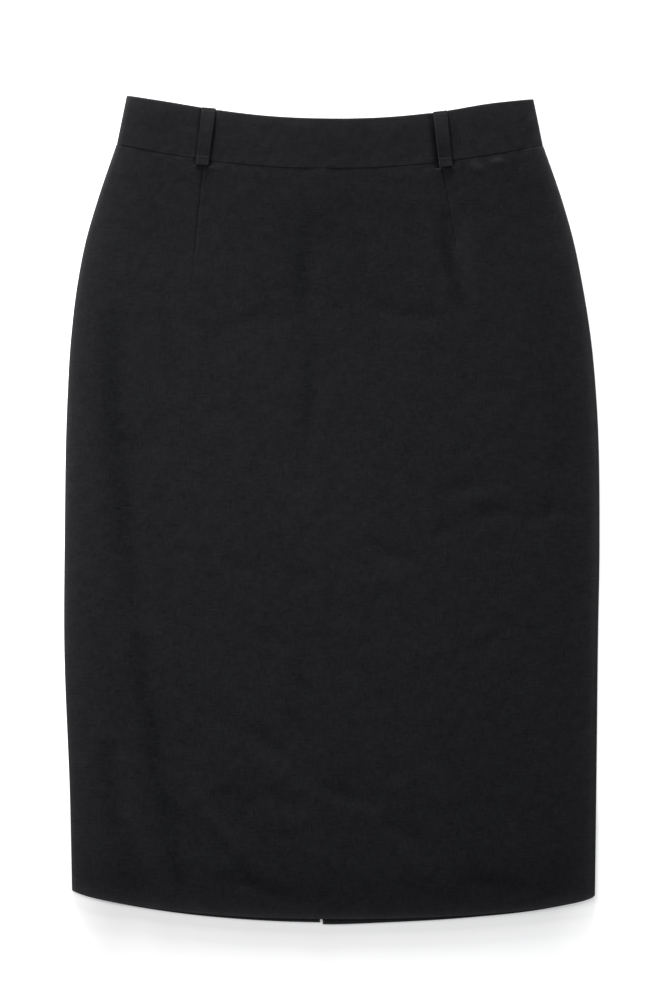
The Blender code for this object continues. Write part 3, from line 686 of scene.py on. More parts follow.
def cloth_shell(name, x, y, z, wall, finish, edge=None, rims=(1.0, 1.0, 1.0, 1.0)):
    """A closed sheet of cloth whose outer face is the grid (x, y, z).

    With n the outer normal, r half of the wall, a and b the angles of the rim's steps up and
    across, and t the directions out over the borders, an outer point is
    P - t_a r (1 - sin a) - t_b r (1 - sin b) - n r (1 - cos a cos b),
    and an inner point has the wall less that last depth. At 90 degrees the two coincide, so the
    shell closes there without a seam. rims makes the rim at the first row, last row, first column
    and last column narrower, for edges that a seam pulls tight."""
    points = np.stack((x, y, z), axis=-1)
    normal = unit(np.cross(np.gradient(points, axis=1), np.gradient(points, axis=0)))
    steps = len(RIM_ANGLES)
    radius = wall / 2

    def spread(count, first, last):
        at = np.concatenate((np.zeros(steps), np.arange(1, count - 1), np.full(steps, count - 1)))
        at = at.astype(int)
        angle = np.concatenate((RIM_ANGLES[::-1], np.zeros(count - 2), RIM_ANGLES))
        width = np.where(at == 0, first, np.where(at == count - 1, last, 0.0))
        return at, angle, width * radius * (1 - np.sin(angle))

    row, tilt_a, pull_a = spread(x.shape[0], *rims[:2])
    column, tilt_b, pull_b = spread(x.shape[1], *rims[2:])
    out_rows = np.zeros_like(points)
    out_rows[0] = unit(points[0] - points[1])
    out_rows[-1] = unit(points[-1] - points[-2])
    out_columns = np.zeros_like(points)
    out_columns[:, 0] = unit(points[:, 0] - points[:, 1])
    out_columns[:, -1] = unit(points[:, -1] - points[:, -2])
    pick = np.ix_(row, column)
    middle = points[pick] - out_rows[pick] * pull_a[:, None, None]
    middle = middle - out_columns[pick] * pull_b[None, :, None]
    depth = (radius * (1 - np.cos(tilt_a)[:, None] * np.cos(tilt_b)[None, :]))[..., None]
    outer = middle - normal[pick] * depth
    inner = middle - normal[pick] * (wall - depth)

    shape = outer.shape[:2]
    outer_index = np.arange(shape[0] * shape[1]).reshape(shape)
    inner_index = outer_index.copy()
    inside = (slice(1, -1), slice(1, -1))
    count = inner_index[inside].size
    inner_index[inside] = outer_index.size + np.arange(count).reshape(inner_index[inside].shape)
    vertices = np.concatenate((outer.reshape(-1, 3), inner[inside].reshape(-1, 3)))
    faces = np.concatenate((grid_faces(outer_index), grid_faces(inner_index)[:, ::-1]))
    made = mesh_object(name, vertices, [faces], finish)

    across = np.hypot(np.diff(outer[..., 0], axis=1), np.diff(outer[..., 2], axis=1))
    across = np.concatenate((np.zeros((shape[0], 1)), np.cumsum(across, axis=1)), axis=1)
    centre = shape[1] // 2
    across += np.abs(outer[:, centre:centre + 1, 0] - outer[:, :1, 0]) - across[:, centre:centre + 1]
    grain = np.stack((across + outer[:, :1, 0].mean(), outer[..., 1]), axis=-1) + GRAIN_MIDDLE
    lay_grain(made, np.concatenate((grain.reshape(-1, 2), grain[inside].reshape(-1, 2))))
    # edge holds painted light and shade for each point, with some wear: paler where positive, darker where
    # negative.
    worn_and_painted_light = np.zeros(points.shape[:2]) if edge is None else edge
    worn_and_painted_light = worn_and_painted_light[pick]
    paint(made, "worn_and_painted_light", np.concatenate((worn_and_painted_light.ravel(), worn_and_painted_light[inside].ravel())))
    triangles = sum(len(face.vertices) - 2 for face in made.data.polygons)
    print(f"{name}: {triangles} triangles")
    return made


# %% [markdown]
# ## Cloth, thread, nylon and lacquer
#
# Plain suiting is matt and nearly black, with fine slubs where a thread is thicker. Its weave is
# too fine for geometry, so it is a node group that both cloths share: two stretched noises for the
# slubs of warp and weft, and a product of two sines for the crossings. More groups scatter a little
# lint and make the dye uneven. One more adds painted light and shade, with some wear, to the colour:
# painted highlights along edges, and painted shade in creases and gaps. The Principled shader itself
# keeps the sheen that such cloth has at its edges.


# %% Helper: an empty node group
def new_group(name, inputs, outputs):
    """An empty node group, with its input and output nodes. Each socket has a name and a kind."""
    group = bpy.data.node_groups.new(name, "ShaderNodeTree")
    for way, sockets in (("INPUT", inputs), ("OUTPUT", outputs)):
        for socket, kind in sockets.items():
            group.interface.new_socket(socket, in_out=way, socket_type="NodeSocket" + kind)
    return group, group.nodes.new("NodeGroupInput").outputs, group.nodes.new("NodeGroupOutput")


# %% Node groups: weave, lint, uneven dye, and painted light and shade with some wear
WEAR_AND_PAINTED_LIGHT_COLOUR = (0.0157, 0.0154, 0.0157)  # what a unit of painted light, or of wear, adds to the colour of the black cloth; painted shade takes it away
DARKEST = (0.0008, 0.0008, 0.0009)
ROUGH, ROUGH_WHERE_WORN = 0.9, 0.78
BARE_CELLS = 0.86  # share of the cells that hold no lint


def woven_group():
    """Tone and height of a plain weave. Grain is in metres and Pitch is the spacing of the threads.
    The crossings are sin(pi u / pitch) * sin(pi v / pitch). A slub is noise drawn out along its
    thread, and patches of the cloth show the warp's slubs or the weft's more."""
    inputs = {"Grain": "Vector", "Pitch": "Float", "Slubs": "Float"}
    group, given, result = new_group("woven_cloth", inputs, {"Tone": "Float", "Height": "Float"})
    grain = given["Grain"]
    wobble = add_node(group, "TexNoise", {"Vector": grain, "Scale": 140.0, "Detail": 2.0})
    moved = combined(group, "ADD", grain, scaled(group, wobble.outputs["Color"], 0.0011))
    part = add_node(group, "SeparateXYZ", {0: moved}).outputs
    turns = [maths(group, "MULTIPLY", part[i], np.pi) for i in (0, 1)]
    turns = [maths(group, "DIVIDE", turn, given["Pitch"]) for turn in turns]
    crossing = maths(group, "MULTIPLY", *[maths(group, "SINE", turn) for turn in turns])
    warp, weft = [
        maths(group, "SUBTRACT", noise(group, combined(group, "MULTIPLY", grain, stretch), 1.0), 0.5)
        for stretch in ((640.0, 120.0, 1.0), (120.0, 640.0, 1.0))
    ]
    patch = vary(group, noise(group, grain, 160.0), 3.0, 0.5)
    slub = maths(group, "MULTIPLY", warp, patch)
    slub = maths(group, "MULTIPLY_ADD", weft, maths(group, "SUBTRACT", 1.0, patch), slub)
    slub = maths(group, "MULTIPLY", slub, given["Slubs"])
    raised = maths(group, "MULTIPLY", maths(group, "ABSOLUTE", crossing), 0.4)
    feed(group, result, {"Tone": maths(group, "MULTIPLY_ADD", crossing, 0.10, slub),
                         "Height": maths(group, "MULTIPLY_ADD", slub, 1.2, raised)})
    return group


def lint_group():
    """A mask of a few specks of lint: the middles of scattered cells, and only of some of them."""
    inputs = {"Grain": "Vector", "Spacing": "Float", "Size": "Float"}
    group, given, result = new_group("lint", inputs, {"Mask": "Float"})
    scale = maths(group, "DIVIDE", 1.0, given["Spacing"])
    cell = add_node(group, "TexVoronoi", {"Vector": given["Grain"], "Scale": scale})
    reach = maths(group, "DIVIDE", given["Size"], given["Spacing"])
    speck = maths(group, "LESS_THAN", cell.outputs["Distance"], reach)
    shade = add_node(group, "SeparateColor", {0: cell.outputs["Color"]}).outputs[0]
    chosen = maths(group, "GREATER_THAN", shade, BARE_CELLS)
    feed(group, result, {"Mask": maths(group, "MULTIPLY", speck, chosen)})
    return group


def dye_group():
    """How unevenly the cloth took its dye: clouds, patches and a fine mottle, as a tone round 0."""
    group, given, result = new_group("uneven_dye", {"Place": "Vector"}, {"Tone": "Float"})
    tone = vary(group, noise(group, given["Place"], 24.0), 0.15, 0.0)
    tone = vary(group, noise(group, given["Place"], 300.0, 2.0), 0.6, tone)
    tone = vary(group, noise(group, given["Place"], 110.0), 0.35, tone)
    feed(group, result, {"Tone": tone})
    return group


def wear_and_painted_light_group():
    """Painted light and shade, with a little rubbing: Colour = max(Colour + amount * added colour,
    DARKEST). The cloth is paler and smoother where the amount is positive, and darker where it is negative.
    """
    inputs, outputs = {"Colour": "Vector", "WornAndPaintedLight": "Float"}, {"Colour": "Vector", "Roughness": "Float"}
    group, given, result = new_group("wear_and_painted_light", inputs, outputs)
    shade = combined(group, "ADD", given["Colour"], scaled(group, WEAR_AND_PAINTED_LIGHT_COLOUR, given["WornAndPaintedLight"]))
    rough = maths(group, "MULTIPLY_ADD", given["WornAndPaintedLight"], ROUGH_WHERE_WORN - ROUGH, ROUGH)
    feed(group, result, {"Colour": combined(group, "MAXIMUM", shade, DARKEST), "Roughness": rough})
    return group


WOVEN, LINT, DYE, WEAR_AND_PAINTED_LIGHT = woven_group(), lint_group(), dye_group(), wear_and_painted_light_group()
print("node groups:", [group.name for group in bpy.data.node_groups])


# %% Materials
def blank_material(name, roughness, specular):
    made = bpy.data.materials.new(name)
    made.use_nodes = True
    shader = made.node_tree.nodes["Principled BSDF"]
    feed(made.node_tree, shader, {"Roughness": roughness, "Specular IOR Level": specular})
    return made, made.node_tree, shader


def placed(tree, group, inputs):
    """The outputs of a node group, placed in a material with these inputs."""
    made = add_node(tree, "Group", node_tree=group)
    feed(tree, made, inputs)
    return made.outputs


def suiting(name, colour, slubs):
    """Black suiting: slubs and weave in tone and height, with lint. It is paler at painted highlights and a
    little rubbing, and darker at painted shade.
    """
    made, tree, shader = blank_material(name, ROUGH, 0.06)
    grain = add_node(tree, "UVMap", uv_map="grain").outputs["UV"]
    place = add_node(tree, "TexCoord").outputs["Object"]
    # This attribute holds painted light and shade, with some wear: highlights along edges, and shade in
    # creases and gaps.
    worn_and_painted_light = add_node(tree, "Attribute", attribute_name="worn_and_painted_light").outputs["Fac"]
    weave = placed(tree, WOVEN, {"Grain": grain, "Pitch": 0.55 * MM, "Slubs": slubs})
    lint = placed(tree, LINT, {"Grain": grain, "Spacing": 32 * MM, "Size": 0.45 * MM})
    dye = placed(tree, DYE, {"Place": place})
    tone = maths(tree, "ADD", maths(tree, "MULTIPLY_ADD", weave["Tone"], 1.2, 1.0), dye["Tone"])
    tone = maths(tree, "MULTIPLY_ADD", lint["Mask"], 1.2, tone)
    wear_and_painted_light = placed(tree, WEAR_AND_PAINTED_LIGHT, {"Colour": scaled(tree, colour, tone), "WornAndPaintedLight": worn_and_painted_light})
    feed(tree, shader, {
        "Base Color": wear_and_painted_light["Colour"], "Roughness": wear_and_painted_light["Roughness"],
        "Normal": bumped(tree, weave["Height"], 0.12 * MM, 0.7),
        "Sheen Weight": 0.06, "Sheen Roughness": 0.4, "Sheen Tint": (0.8, 0.85, 1.0, 1.0),
    })
    return made


def ribbed(name, colour, roughness, specular, pitch, depth):
    """Fine even ribs across y, sin(2 pi y / pitch): woven tape, or the lay of a sewing thread."""
    made, tree, shader = blank_material(name, roughness, specular)
    place = add_node(tree, "TexCoord").outputs["Object"]
    y = add_node(tree, "SeparateXYZ", {0: place}).outputs[1]
    wave = maths(tree, "SINE", maths(tree, "MULTIPLY", y, 2 * np.pi / pitch))
    fibres = maths(tree, "MULTIPLY_ADD", noise(tree, place, 900.0, 2.0), 0.5, 0.75)
    tone = maths(tree, "MULTIPLY_ADD", wave, 0.1, fibres)
    feed(tree, shader, {"Base Color": scaled(tree, colour, tone), "Normal": bumped(tree, wave, depth, 0.6)})
    return made


def lacquer(name, colour):
    """Black lacquer on die-cast metal: a thin clear coat, slightly uneven, with fine handling marks."""
    made, tree, shader = blank_material(name, 0.35, 0.5)
    place = add_node(tree, "TexCoord").outputs["Object"]
    blotch, mark = noise(tree, place, 420.0, 3.0), noise(tree, place, 2600.0, 2.0)
    feed(tree, shader, {
        "Base Color": scaled(tree, colour, maths(tree, "MULTIPLY_ADD", blotch, 0.5, 0.75)),
        "Roughness": maths(tree, "MULTIPLY_ADD", mark, 0.3, 0.2),
        "Normal": bumped(tree, blotch, 0.03 * MM, 0.4), "Coat Weight": 0.4, "Coat Roughness": 0.15,
    })
    return made


panel_cloth = suiting("black_suiting", (0.0082, 0.0084, 0.0095), 1.0)
band_cloth = suiting("black_suiting_band", (0.0088, 0.0088, 0.0099), 0.8)
sewing_thread = ribbed("sewing_thread", (0.0165, 0.0165, 0.0180), 0.75, 0.15, 0.25 * MM, 0.02 * MM)
tape_cloth = ribbed("zip_tape_weave", (0.008, 0.008, 0.009), 0.9, 0.15, 0.6 * MM, 0.06 * MM)
nylon = ribbed("zip_nylon", (0.010, 0.010, 0.011), 0.4, 0.5, 0.3 * MM, 0.01 * MM)
black_lacquer = lacquer("black_lacquer", (0.02, 0.02, 0.022))
finishes = (panel_cloth, band_cloth, sewing_thread, tape_cloth, nylon, black_lacquer)
print("materials:", [finish.name for finish in finishes])

# %% [markdown]
# ## Seats of the belt loops
#
# The foot of a loop is sewn flat through the band and the panel, which give way under it. The loop
# pulls a furrow beside each of its edges, the deeper one on the side towards the middle. Both the
# front and the band need that shape, so it is worked out once, from distances to the loop's edges.


# %% Seats of the front loops
LOOP_WIDTH, LOOP_TOP_WIDER = 10.7 * MM, 0.9 * MM
LOOP_SHIFT = {"right": (0.9 * MM, 1.0 * MM), "left": (-0.6 * MM, 0.1 * MM)}  # at the foot, more at the top
LOOP_BELOW_SEAM = 4.6 * MM
LOOP_ROWS_OF_BAND = {"right": 2, "left": 6}
LOOP_TOP_TACK, LOOP_FOOT_TACK = 3.4 * MM, 6.6 * MM
LOOP_TUCK = 0.3 * MM
LOOP_GAPS = {"right": 1.5 * MM, "left": 2.6 * MM}  # width of the gap towards the middle of the skirt
FURROW, OUTER_FURROW = 1.8 * MM, 0.8 * MM
PAINTED_LOOP_SHADES = {"right": (0.08, -0.03, 0.18), "left": (0.32, 0.08, 0.0)}  # painted shade in the inner gap and in the outer gap, and painted light beyond the inner gap; a negative one is paler
# Painted shade just below each loop's foot, and the level below which it has ended.
PAINTED_FOOT_SHADE, PAINTED_FOOT_SHADE_ENDS = 0.3, 0.01
PAINTED_LOOP_LIGHT = {"right": -0.02, "left": 0.10}  # painted light: how much lighter or darker a whole loop is coloured


def loop_axis(side):
    """Foot and slope of a front loop's middle line: x and y at its foot, and dx / dy."""
    row = LOOP_ROWS_OF_BAND[side]
    slope = (BAND["top_x"][row] - BAND["seam_x"][row]) / (BAND["top_y"][row] - BAND["seam_y"][row])
    return BAND["seam_x"][row] + LOOP_SHIFT[side][0], BAND["seam_y"][row], slope


def loop_middle(side, y):
    """x of the middle of a front loop at each height."""
    x0, y0, slope = loop_axis(side)
    up = (y - y0) / (BAND["top_y"][LOOP_ROWS_OF_BAND[side]] - y0)
    return x0 + slope * (y - y0) + LOOP_SHIFT[side][1] * up


def beside_loop(side, x, y):
    """Distances from a front loop: past its edge towards the middle, past its outer edge, and up
    from its foot along its slanted middle line."""
    x0, y0, slope = loop_axis(side)
    foot = y0 - LOOP_BELOW_SEAM
    along = ((x - x0) * slope + y - foot) / np.sqrt(1 + slope**2)
    half = (LOOP_WIDTH + LOOP_TOP_WIDER * (y - y0) / (BAND["top_y"][LOOP_ROWS_OF_BAND[side]] - y0)) / 2
    from_middle = (x - loop_middle(side, y)) * (1.0 if side == "right" else -1.0)
    return from_middle - half, -from_middle - half, along


def loop_seat(x, y):
    """How far panel and band give way to the front loops: the larger of furrow and seat, which both
    end just below the foot."""
    depth = np.zeros_like(x)
    for side, gap in LOOP_GAPS.items():
        inner, outer, along = beside_loop(side, x, y)
        furrow = FURROW * bell(inner - 0.4 * gap, 0.9 * gap) + OUTER_FURROW * bell(outer - 0.3 * MM, MM)
        under = ramp(np.maximum(inner, outer), -0.6 * MM, 0.3 * MM)
        under = LOOP_TUCK * under * ramp(along, LOOP_FOOT_TACK, LOOP_FOOT_TACK + 10 * MM)
        depth += np.maximum(furrow, under) * ramp(-along, 0.2 * MM, 1.2 * MM)
    return depth


def painted_loop_shading(x, y):
    """Painted shade in the gaps beside each front loop and just below its foot: how much darker the cloth
    is coloured there.
    Beyond the inner gap, painted light makes the band a little paler, where it rises again and the loop
    casts a shadow."""
    shade = np.zeros_like(x)
    for side, gap in LOOP_GAPS.items():
        inner, outer, along = beside_loop(side, x, y)
        in_gap, out_gap, beyond = PAINTED_LOOP_SHADES[side]
        gaps = in_gap * bell(inner - 0.3 * gap, 0.9 * gap) + out_gap * bell(outer - 0.4 * MM, MM)
        gaps = gaps - beyond * bell(inner - 5 * MM, 4.5 * MM)
        foot = PAINTED_FOOT_SHADE * bell(along + 0.5 * MM, 0.8 * MM) * ramp(np.maximum(inner, outer), 0.0, MM)
        beside = gaps * ramp(-along, 0.0, 1.5 * MM)
        shade += np.where(foot > PAINTED_FOOT_SHADE_ENDS, np.maximum(beside, foot), beside)
    return shade


print("width of the gaps beside the loops, mm:", {side: gap / MM for side, gap in LOOP_GAPS.items()})


# %% [markdown]
# ## The front
#
# The front panel is one piece, cut on the fold, with two waist darts. It lies over the back and
# rolls down to the table at both sides, where the side seams are. Its height is a sum of simple
# terms: plain cloth, a rise to the waist, the print of the zip below it, the sag at sides and hem,
# and the creases. A soft floor keeps it off the back panels.


# %% Height of the front
FRONT_HEIGHT = 4.3 * MM
WAIST_RISE, WAIST_REACH = 0.75 * MM, 70.0 * MM
SEAM_PRINT, SEAM_PRINT_REACH = 0.30 * MM, 9.0 * MM
ZIP_SWELL, ZIP_SWELL_REACH = 1.35 * MM, 34.0 * MM
SWELL_BELOW_BAND = 0.45  # how much of the zip's swell the panel shows
HEM_SINK, HEM_REACH = 1.3 * MM, 48.0 * MM
HEM_PRESS, HEM_PRESS_REACH = 0.35 * MM, 8.0 * MM
SIDE_ROLLS = table("drop reach radius", (1.2, 46.0, 5.5), (0.8, 26.0, 4.0))
DART_DEPTH, DART_REACH = 0.32 * MM, 0.9 * MM
DART_FADE = 20.0 * MM  # how far above its tip the ditch has its full depth
DIMPLE, DIMPLE_BELOW_TIP, DIMPLE_REACH = 0.15 * MM, 4 * MM, 7 * MM
# Painted shade along each dart's seam, and how far it reaches.
PAINTED_DART_SHADES = (0.11, 0.08)
PAINTED_DART_SHADE_REACH = 0.7 * MM
SEAM_PULL, SEAM_PULL_REACH = 0.06 * MM, 3.0 * MM
LOWEST_FRONT = 2 * PANEL_WALL + 0.08 * MM
SOFTNESS = 0.25 * MM


def soft_floor(height, lowest):
    """Height that bends smoothly to the lowest level: lowest + (d + sqrt(d^2 + s^2)) / 2, where d is
    the height above it and s is the softness."""
    above = height - lowest
    return lowest + (above + np.sqrt(above**2 + SOFTNESS**2)) / 2


def zip_swell(x):
    return ZIP_SWELL * bell(x - CENTRE_BACK, ZIP_SWELL_REACH)


def dart_groove(x, y):
    """The ditch along each dart's seam, and the faint dimple where it runs out at the tip."""
    depth = np.zeros_like(x)
    for number in range(2):
        tip_x, tip_y = DARTS["tip_x"][number], DARTS["tip_y"][number]
        away = np.abs(x - dart_line(number)(y))
        fade = np.clip((y - tip_y) / DART_FADE, 0.0, 1.0)
        depth += DART_DEPTH * np.clip(1 - away / DART_REACH, 0.0, 1.0) * fade
        depth -= DIMPLE * bell(np.hypot(x - tip_x, (y - tip_y + DIMPLE_BELOW_TIP) / 2), DIMPLE_REACH)
    return depth


def painted_dart_shade(x, y):
    """Painted shade along the bottom of each dart's seam: how much darker it is coloured than the cloth
    beside it.
    """
    shade = np.zeros_like(x)
    for number, strength in enumerate(PAINTED_DART_SHADES):
        away = np.abs(x - dart_line(number)(y))
        fade = ramp(DARTS["tip_y"][number] - y, 0.0, 6 * MM)
        shade += strength * np.clip(1.3 - away / PAINTED_DART_SHADE_REACH, 0.0, 1.0) * fade
    return shade


def front_height(x, y):
    """Outer face of the front: the sum of the terms that the text above names."""
    below_seam = band_seam(x) - y
    in_right = np.clip((x - side_line("right")(y)) / SIDE_ROLLS["reach"][0], 0.0, 1.0)
    in_left = np.clip((side_line("left")(y) - x) / SIDE_ROLLS["reach"][1], 0.0, 1.0)
    sides = SIDE_ROLLS["drop"][0] * (1 - in_right) ** 2 + SIDE_ROLLS["drop"][1] * (1 - in_left) ** 2
    above_hem = y - front_hem(x)
    hem = HEM_SINK * ramp(above_hem, 0.0, HEM_REACH) + HEM_PRESS * bell(above_hem, HEM_PRESS_REACH)
    hem = hem * in_right * in_left
    waist = WAIST_RISE + SWELL_BELOW_BAND * zip_swell(x)
    plain = FRONT_HEIGHT + waist * ramp(below_seam, 0.0, WAIST_REACH)
    plain = plain + SEAM_PRINT * bell(x - CENTRE_BACK, SEAM_PRINT_REACH)
    pulled = SEAM_PULL * bell(below_seam, SEAM_PULL_REACH)
    depth = creases(FOLDS, x, y) + creases(CREASES, x, y)
    height = plain - sides - hem - depth + unevenness(x, y) - pulled
    return soft_floor(height, LOWEST_FRONT) - dart_groove(x, y) - loop_seat(x, y)


print("lowest level of the front, mm:", round(LOWEST_FRONT / MM, 2))

# %% Side rolls and rows of a grid
ROLL_ANGLES = np.radians((90.0, 78.0, 66.0, 54.0, 42.0, 30.0, 20.0, 10.0, 0.0))
ROLL_FOOT = PANEL_WALL + 0.2 * MM
NEAR_EDGE = (0.8, 1.7, 3.0)


def rolled_in(z):
    """Heights whose outermost columns are bent down to the table on both sides: upright to the
    roll's foot, then a quarter ellipse z = foot + (crown - foot) cos(a) up to the crown."""
    count = np.arange(len(ROLL_ANGLES) + 1)
    for columns in (count, -1 - count):
        crown = z[:, columns[-1:]]
        z[:, columns[1:]] = ROLL_FOOT + (crown - ROLL_FOOT) * np.cos(ROLL_ANGLES)
        z[:, columns[0]] = 0.0
    return z


def roll_offsets(side):
    """Distances from the edge of a roll's columns: its foot twice, then radius * (1 - sin(a))."""
    return np.concatenate(([0.0], SIDE_ROLLS["radius"][side] * (1 - np.sin(ROLL_ANGLES))))


def row_shares(count, length, below_top=NEAR_EDGE):
    """Shares from 0 to 1 with extra rows close to both borders, at the distances given in millimetres."""
    low, high = np.array(NEAR_EDGE) * MM / length, np.array(below_top) * MM / length
    even = np.linspace(0.0, 1.0, count + 1)
    even = even[(even > low[-1]) & (even < 1 - high[-1])]
    return np.concatenate(([0.0], low, even, 1 - high[::-1], [1.0]))


print("columns in a side roll:", len(ROLL_ANGLES) + 1)

# %% The front panel
FRONT_ROWS, FRONT_FIELDS = 220, (32, 76, 32)
PANEL_LENGTH = 620 * MM
BESIDE_DART = np.array((0.45, 0.9, 2.6, 4.4, 5.2, 6.0, 7.0)) * MM
NEAR_FEET = (0.8, 1.7, 2.8, 3.7, 4.3, 4.9, 5.5, 6.1, 6.8, 8.0)
PAINTED_CREASE_SHADE = 0.07 / MM  # painted shade: how much darker a hollow is coloured for its depth, and how much paler a ridge
# Painted highlight along the rolled sides: a broad one, and one close to the edge.
PAINTED_BROAD_HIGHLIGHT = ((0.22, 48 * MM), (0.24, 32 * MM))  # strength and reach on the right side and on the left
PAINTED_EDGE_HIGHLIGHT = ((0.74, 4.2 * MM), (2.1, 2.8 * MM))
# The cloth is paler towards the hem. On the hem's rim, which faces away from the lamps, painted light lifts
# its shade.
HEM_PALER, HEM_PALER_REACH, PAINTED_HEM_RIM_LIGHT = 0.5, 18 * MM, 0.6


def front_columns():
    """Stations and offsets of the front's columns: a roll, three fields parted by darts, a roll."""
    right, left = roll_offsets(0), roll_offsets(1)
    ditch = np.concatenate((-BESIDE_DART[::-1], [0.0], BESIDE_DART))
    margins = (SIDE_ROLLS["radius"][0], ditch[-1], ditch[-1], SIDE_ROLLS["radius"][1])
    station, offset = [np.zeros(len(right))], [right]
    for number, count in enumerate(FRONT_FIELDS):
        share = np.linspace(0.0, 1.0, count + 1)[1:-1]
        station.append(number + share)
        offset.append((1 - share) * margins[number] - share * margins[number + 1])
        if number < 2:
            station.append(np.full(len(ditch), number + 1.0))
            offset.append(ditch)
    station.append(np.full(len(left), 3.0))
    offset.append(-left[::-1])
    return np.concatenate(station), np.concatenate(offset)


def edge_falloff(distance, reach):
    """A falloff from an edge: 1 on it and 0 beyond the reach, falling off as the square."""
    return np.clip(1 - distance / reach, 0.0, 1.0) ** 2


def painted_side_highlight(from_right, from_left, y):
    """Painted highlight along both rolled sides, which turn towards the lamps and catch a sheen. There is
    less of it towards the hem. On the right side it is broad, on the left mostly on its edge."""
    away = (from_right, from_left)
    broad = sum(strength * edge_falloff(far, reach) for far, (strength, reach) in zip(away, PAINTED_BROAD_HIGHLIGHT))
    close = sum(strength * np.exp(-far / reach) for far, (strength, reach) in zip(away, PAINTED_EDGE_HIGHLIGHT))
    return broad + close * (0.6 + 0.4 * ramp(-y, 0.0, 200 * MM))


def front_panel():
    guides = (side_line("right"), dart_line(0), dart_line(1), side_line("left"))
    station, offset = front_columns()
    rows = row_shares(FRONT_ROWS, PANEL_LENGTH, NEAR_FEET)
    x, y = lay_out(guides, station, offset, front_hem, lambda x: band_seam(x) - SEWN_GAP, rows)
    z = rolled_in(front_height(x, y))
    # Painted highlight along the rolled sides.
    worn_and_painted_light = painted_side_highlight(x - guides[0](y), guides[-1](y) - x, y)
    # Paler towards the hem, and painted light on the hem's rim.
    above_hem = y - front_hem(x)
    worn_and_painted_light = worn_and_painted_light + HEM_PALER * edge_falloff(above_hem, HEM_PALER_REACH) + PAINTED_HEM_RIM_LIGHT * np.exp(-above_hem / MM)
    # Painted shade in the hollows of all creases and marks, and painted highlight on their ridges.
    hollow = sum(creases(marks, x, y, (0.0, 0.0)) for marks in (FOLDS, CREASES, PAINTED_SHADING_MARKS))
    # Painted shade along the darts' seams and in the gaps beside the loops.
    worn_and_painted_light = worn_and_painted_light - PAINTED_CREASE_SHADE * hollow - painted_dart_shade(x, y) - painted_loop_shading(x, y)
    return cloth_shell("front_panel", x, y, z, PANEL_WALL, panel_cloth, worn_and_painted_light, PANEL_RIMS)


front = front_panel()

# %% [markdown]
# ## The back
#
# Two panels meet at the centre-back seam. Its upper part is the opening of the zip and its lower
# part the slit, whose edges part a little. They lie flat, apart from the place over the zip's pull
# tab and over the two back loops, where they rise. Their creases can only go up, away from the table.


# %% Height of the back
LIFT = 1.5 * MM
BACK_LOOP_OFFSET = 78.0 * MM
BACK_COLUMNS, BACK_ROWS = 84, 200
BACK_DART_DEPTH, BACK_DART_TIP, BACK_DART_FADE = 0.3 * MM, 176.0 * MM, 25 * MM
BACK_DART_BESIDE_LOOP = 6 * MM
SLIT_TOP = -200.0 * MM
TACK_ROOM, TACK_ROOM_REACH = 0.35 * MM, 9 * MM


def half_gap(y):
    """Half of the gap between the two back pieces, which seam and zip close up."""
    open_gap = np.interp(y, OPENING["height"], OPENING["half_gap"])
    return np.maximum(open_gap - 0.13 * MM, SEWN_GAP / 2)


def back_lift(x, y):
    """How far the back rises off the table over the pull tab and over the two back loops."""
    below = ramp(band_seam(x) - y, 8 * MM, 26 * MM)
    from_centre = np.abs(x - CENTRE_BACK)
    over_tab = ramp(from_centre, 15 * MM, 28 * MM)
    over_loop = ramp(np.abs(from_centre - BACK_LOOP_OFFSET), 7 * MM, 20 * MM)
    return LIFT * below * (over_tab + over_loop)


def back_height(x, y):
    """Outer face of a back panel. It is on the table or above it: lift, darts, creases and a dent
    that leaves room for the bar tack at the top of the slit."""
    away = np.abs(np.abs(x - CENTRE_BACK) - BACK_LOOP_OFFSET - BACK_DART_BESIDE_LOOP)
    dart = BACK_DART_DEPTH * np.clip(1 - away / DART_REACH, 0.0, 1.0)
    dart = dart * np.clip((y - BACK_DART_TIP) / BACK_DART_FADE, 0.0, 1.0)
    tack = TACK_ROOM * bell(np.hypot(x - CENTRE_BACK, y - SLIT_TOP), TACK_ROOM_REACH)
    soft = np.maximum(creases(BACK_CREASES, x, y), 0.0) * ramp(y, 240 * MM, 285 * MM)
    edge = ramp(np.abs(x), 196 * MM, 212 * MM)
    return back_lift(x, y) + dart + tack + soft * edge


print("lift over the pull tab, mm:", LIFT / MM)


# %% The back panels
def centre_edge(away):
    """x of the centre edge of a back half. away is -1 for the wearer's right and 1 for the left."""
    return lambda y: CENTRE_BACK + away * half_gap(y)


def back_stations(*near_centre):
    """Stations of a back half's columns: the given ones by the centre, an even field that starts at
    the last of them, and two by the side."""
    field = np.linspace(near_centre[-1], 0.985, BACK_COLUMNS)
    return np.concatenate((near_centre[:-1], field, [0.993, 1.0]))


def facing_down(away, *grids):
    """The grids of a back half, with their columns in the order that makes them face the table."""
    return [grid[:, ::-1] for grid in grids] if away > 0 else grids


def back_panel(name, away):
    guides = (centre_edge(away), side_line("left" if away > 0 else "right", PANEL_WALL + SEWN_GAP))
    station = back_stations(0.0, 0.006, 0.014, 0.025)
    rows = row_shares(BACK_ROWS, PANEL_LENGTH)
    x, y = lay_out(guides, station, 0.0, back_hem, lambda x: band_seam(x) - SEWN_GAP, rows)
    z = back_height(x, y)
    # Paler along the centre edge. Along the hem, painted light lifts the shade that the front's hem throws
    # on the strip of the back below it.
    worn_and_painted_light = 0.3 * edge_falloff(np.abs(x - guides[0](y)), 8 * MM) + 0.7 * edge_falloff(y - back_hem(x), 9 * MM)
    x, y, z, worn_and_painted_light = facing_down(away, x, y, z, worn_and_painted_light)
    return cloth_shell(name, x, y, z, PANEL_WALL, panel_cloth, worn_and_painted_light, PANEL_RIMS)


back_right = back_panel("back_panel_right", -1)
back_left = back_panel("back_panel_left", 1)

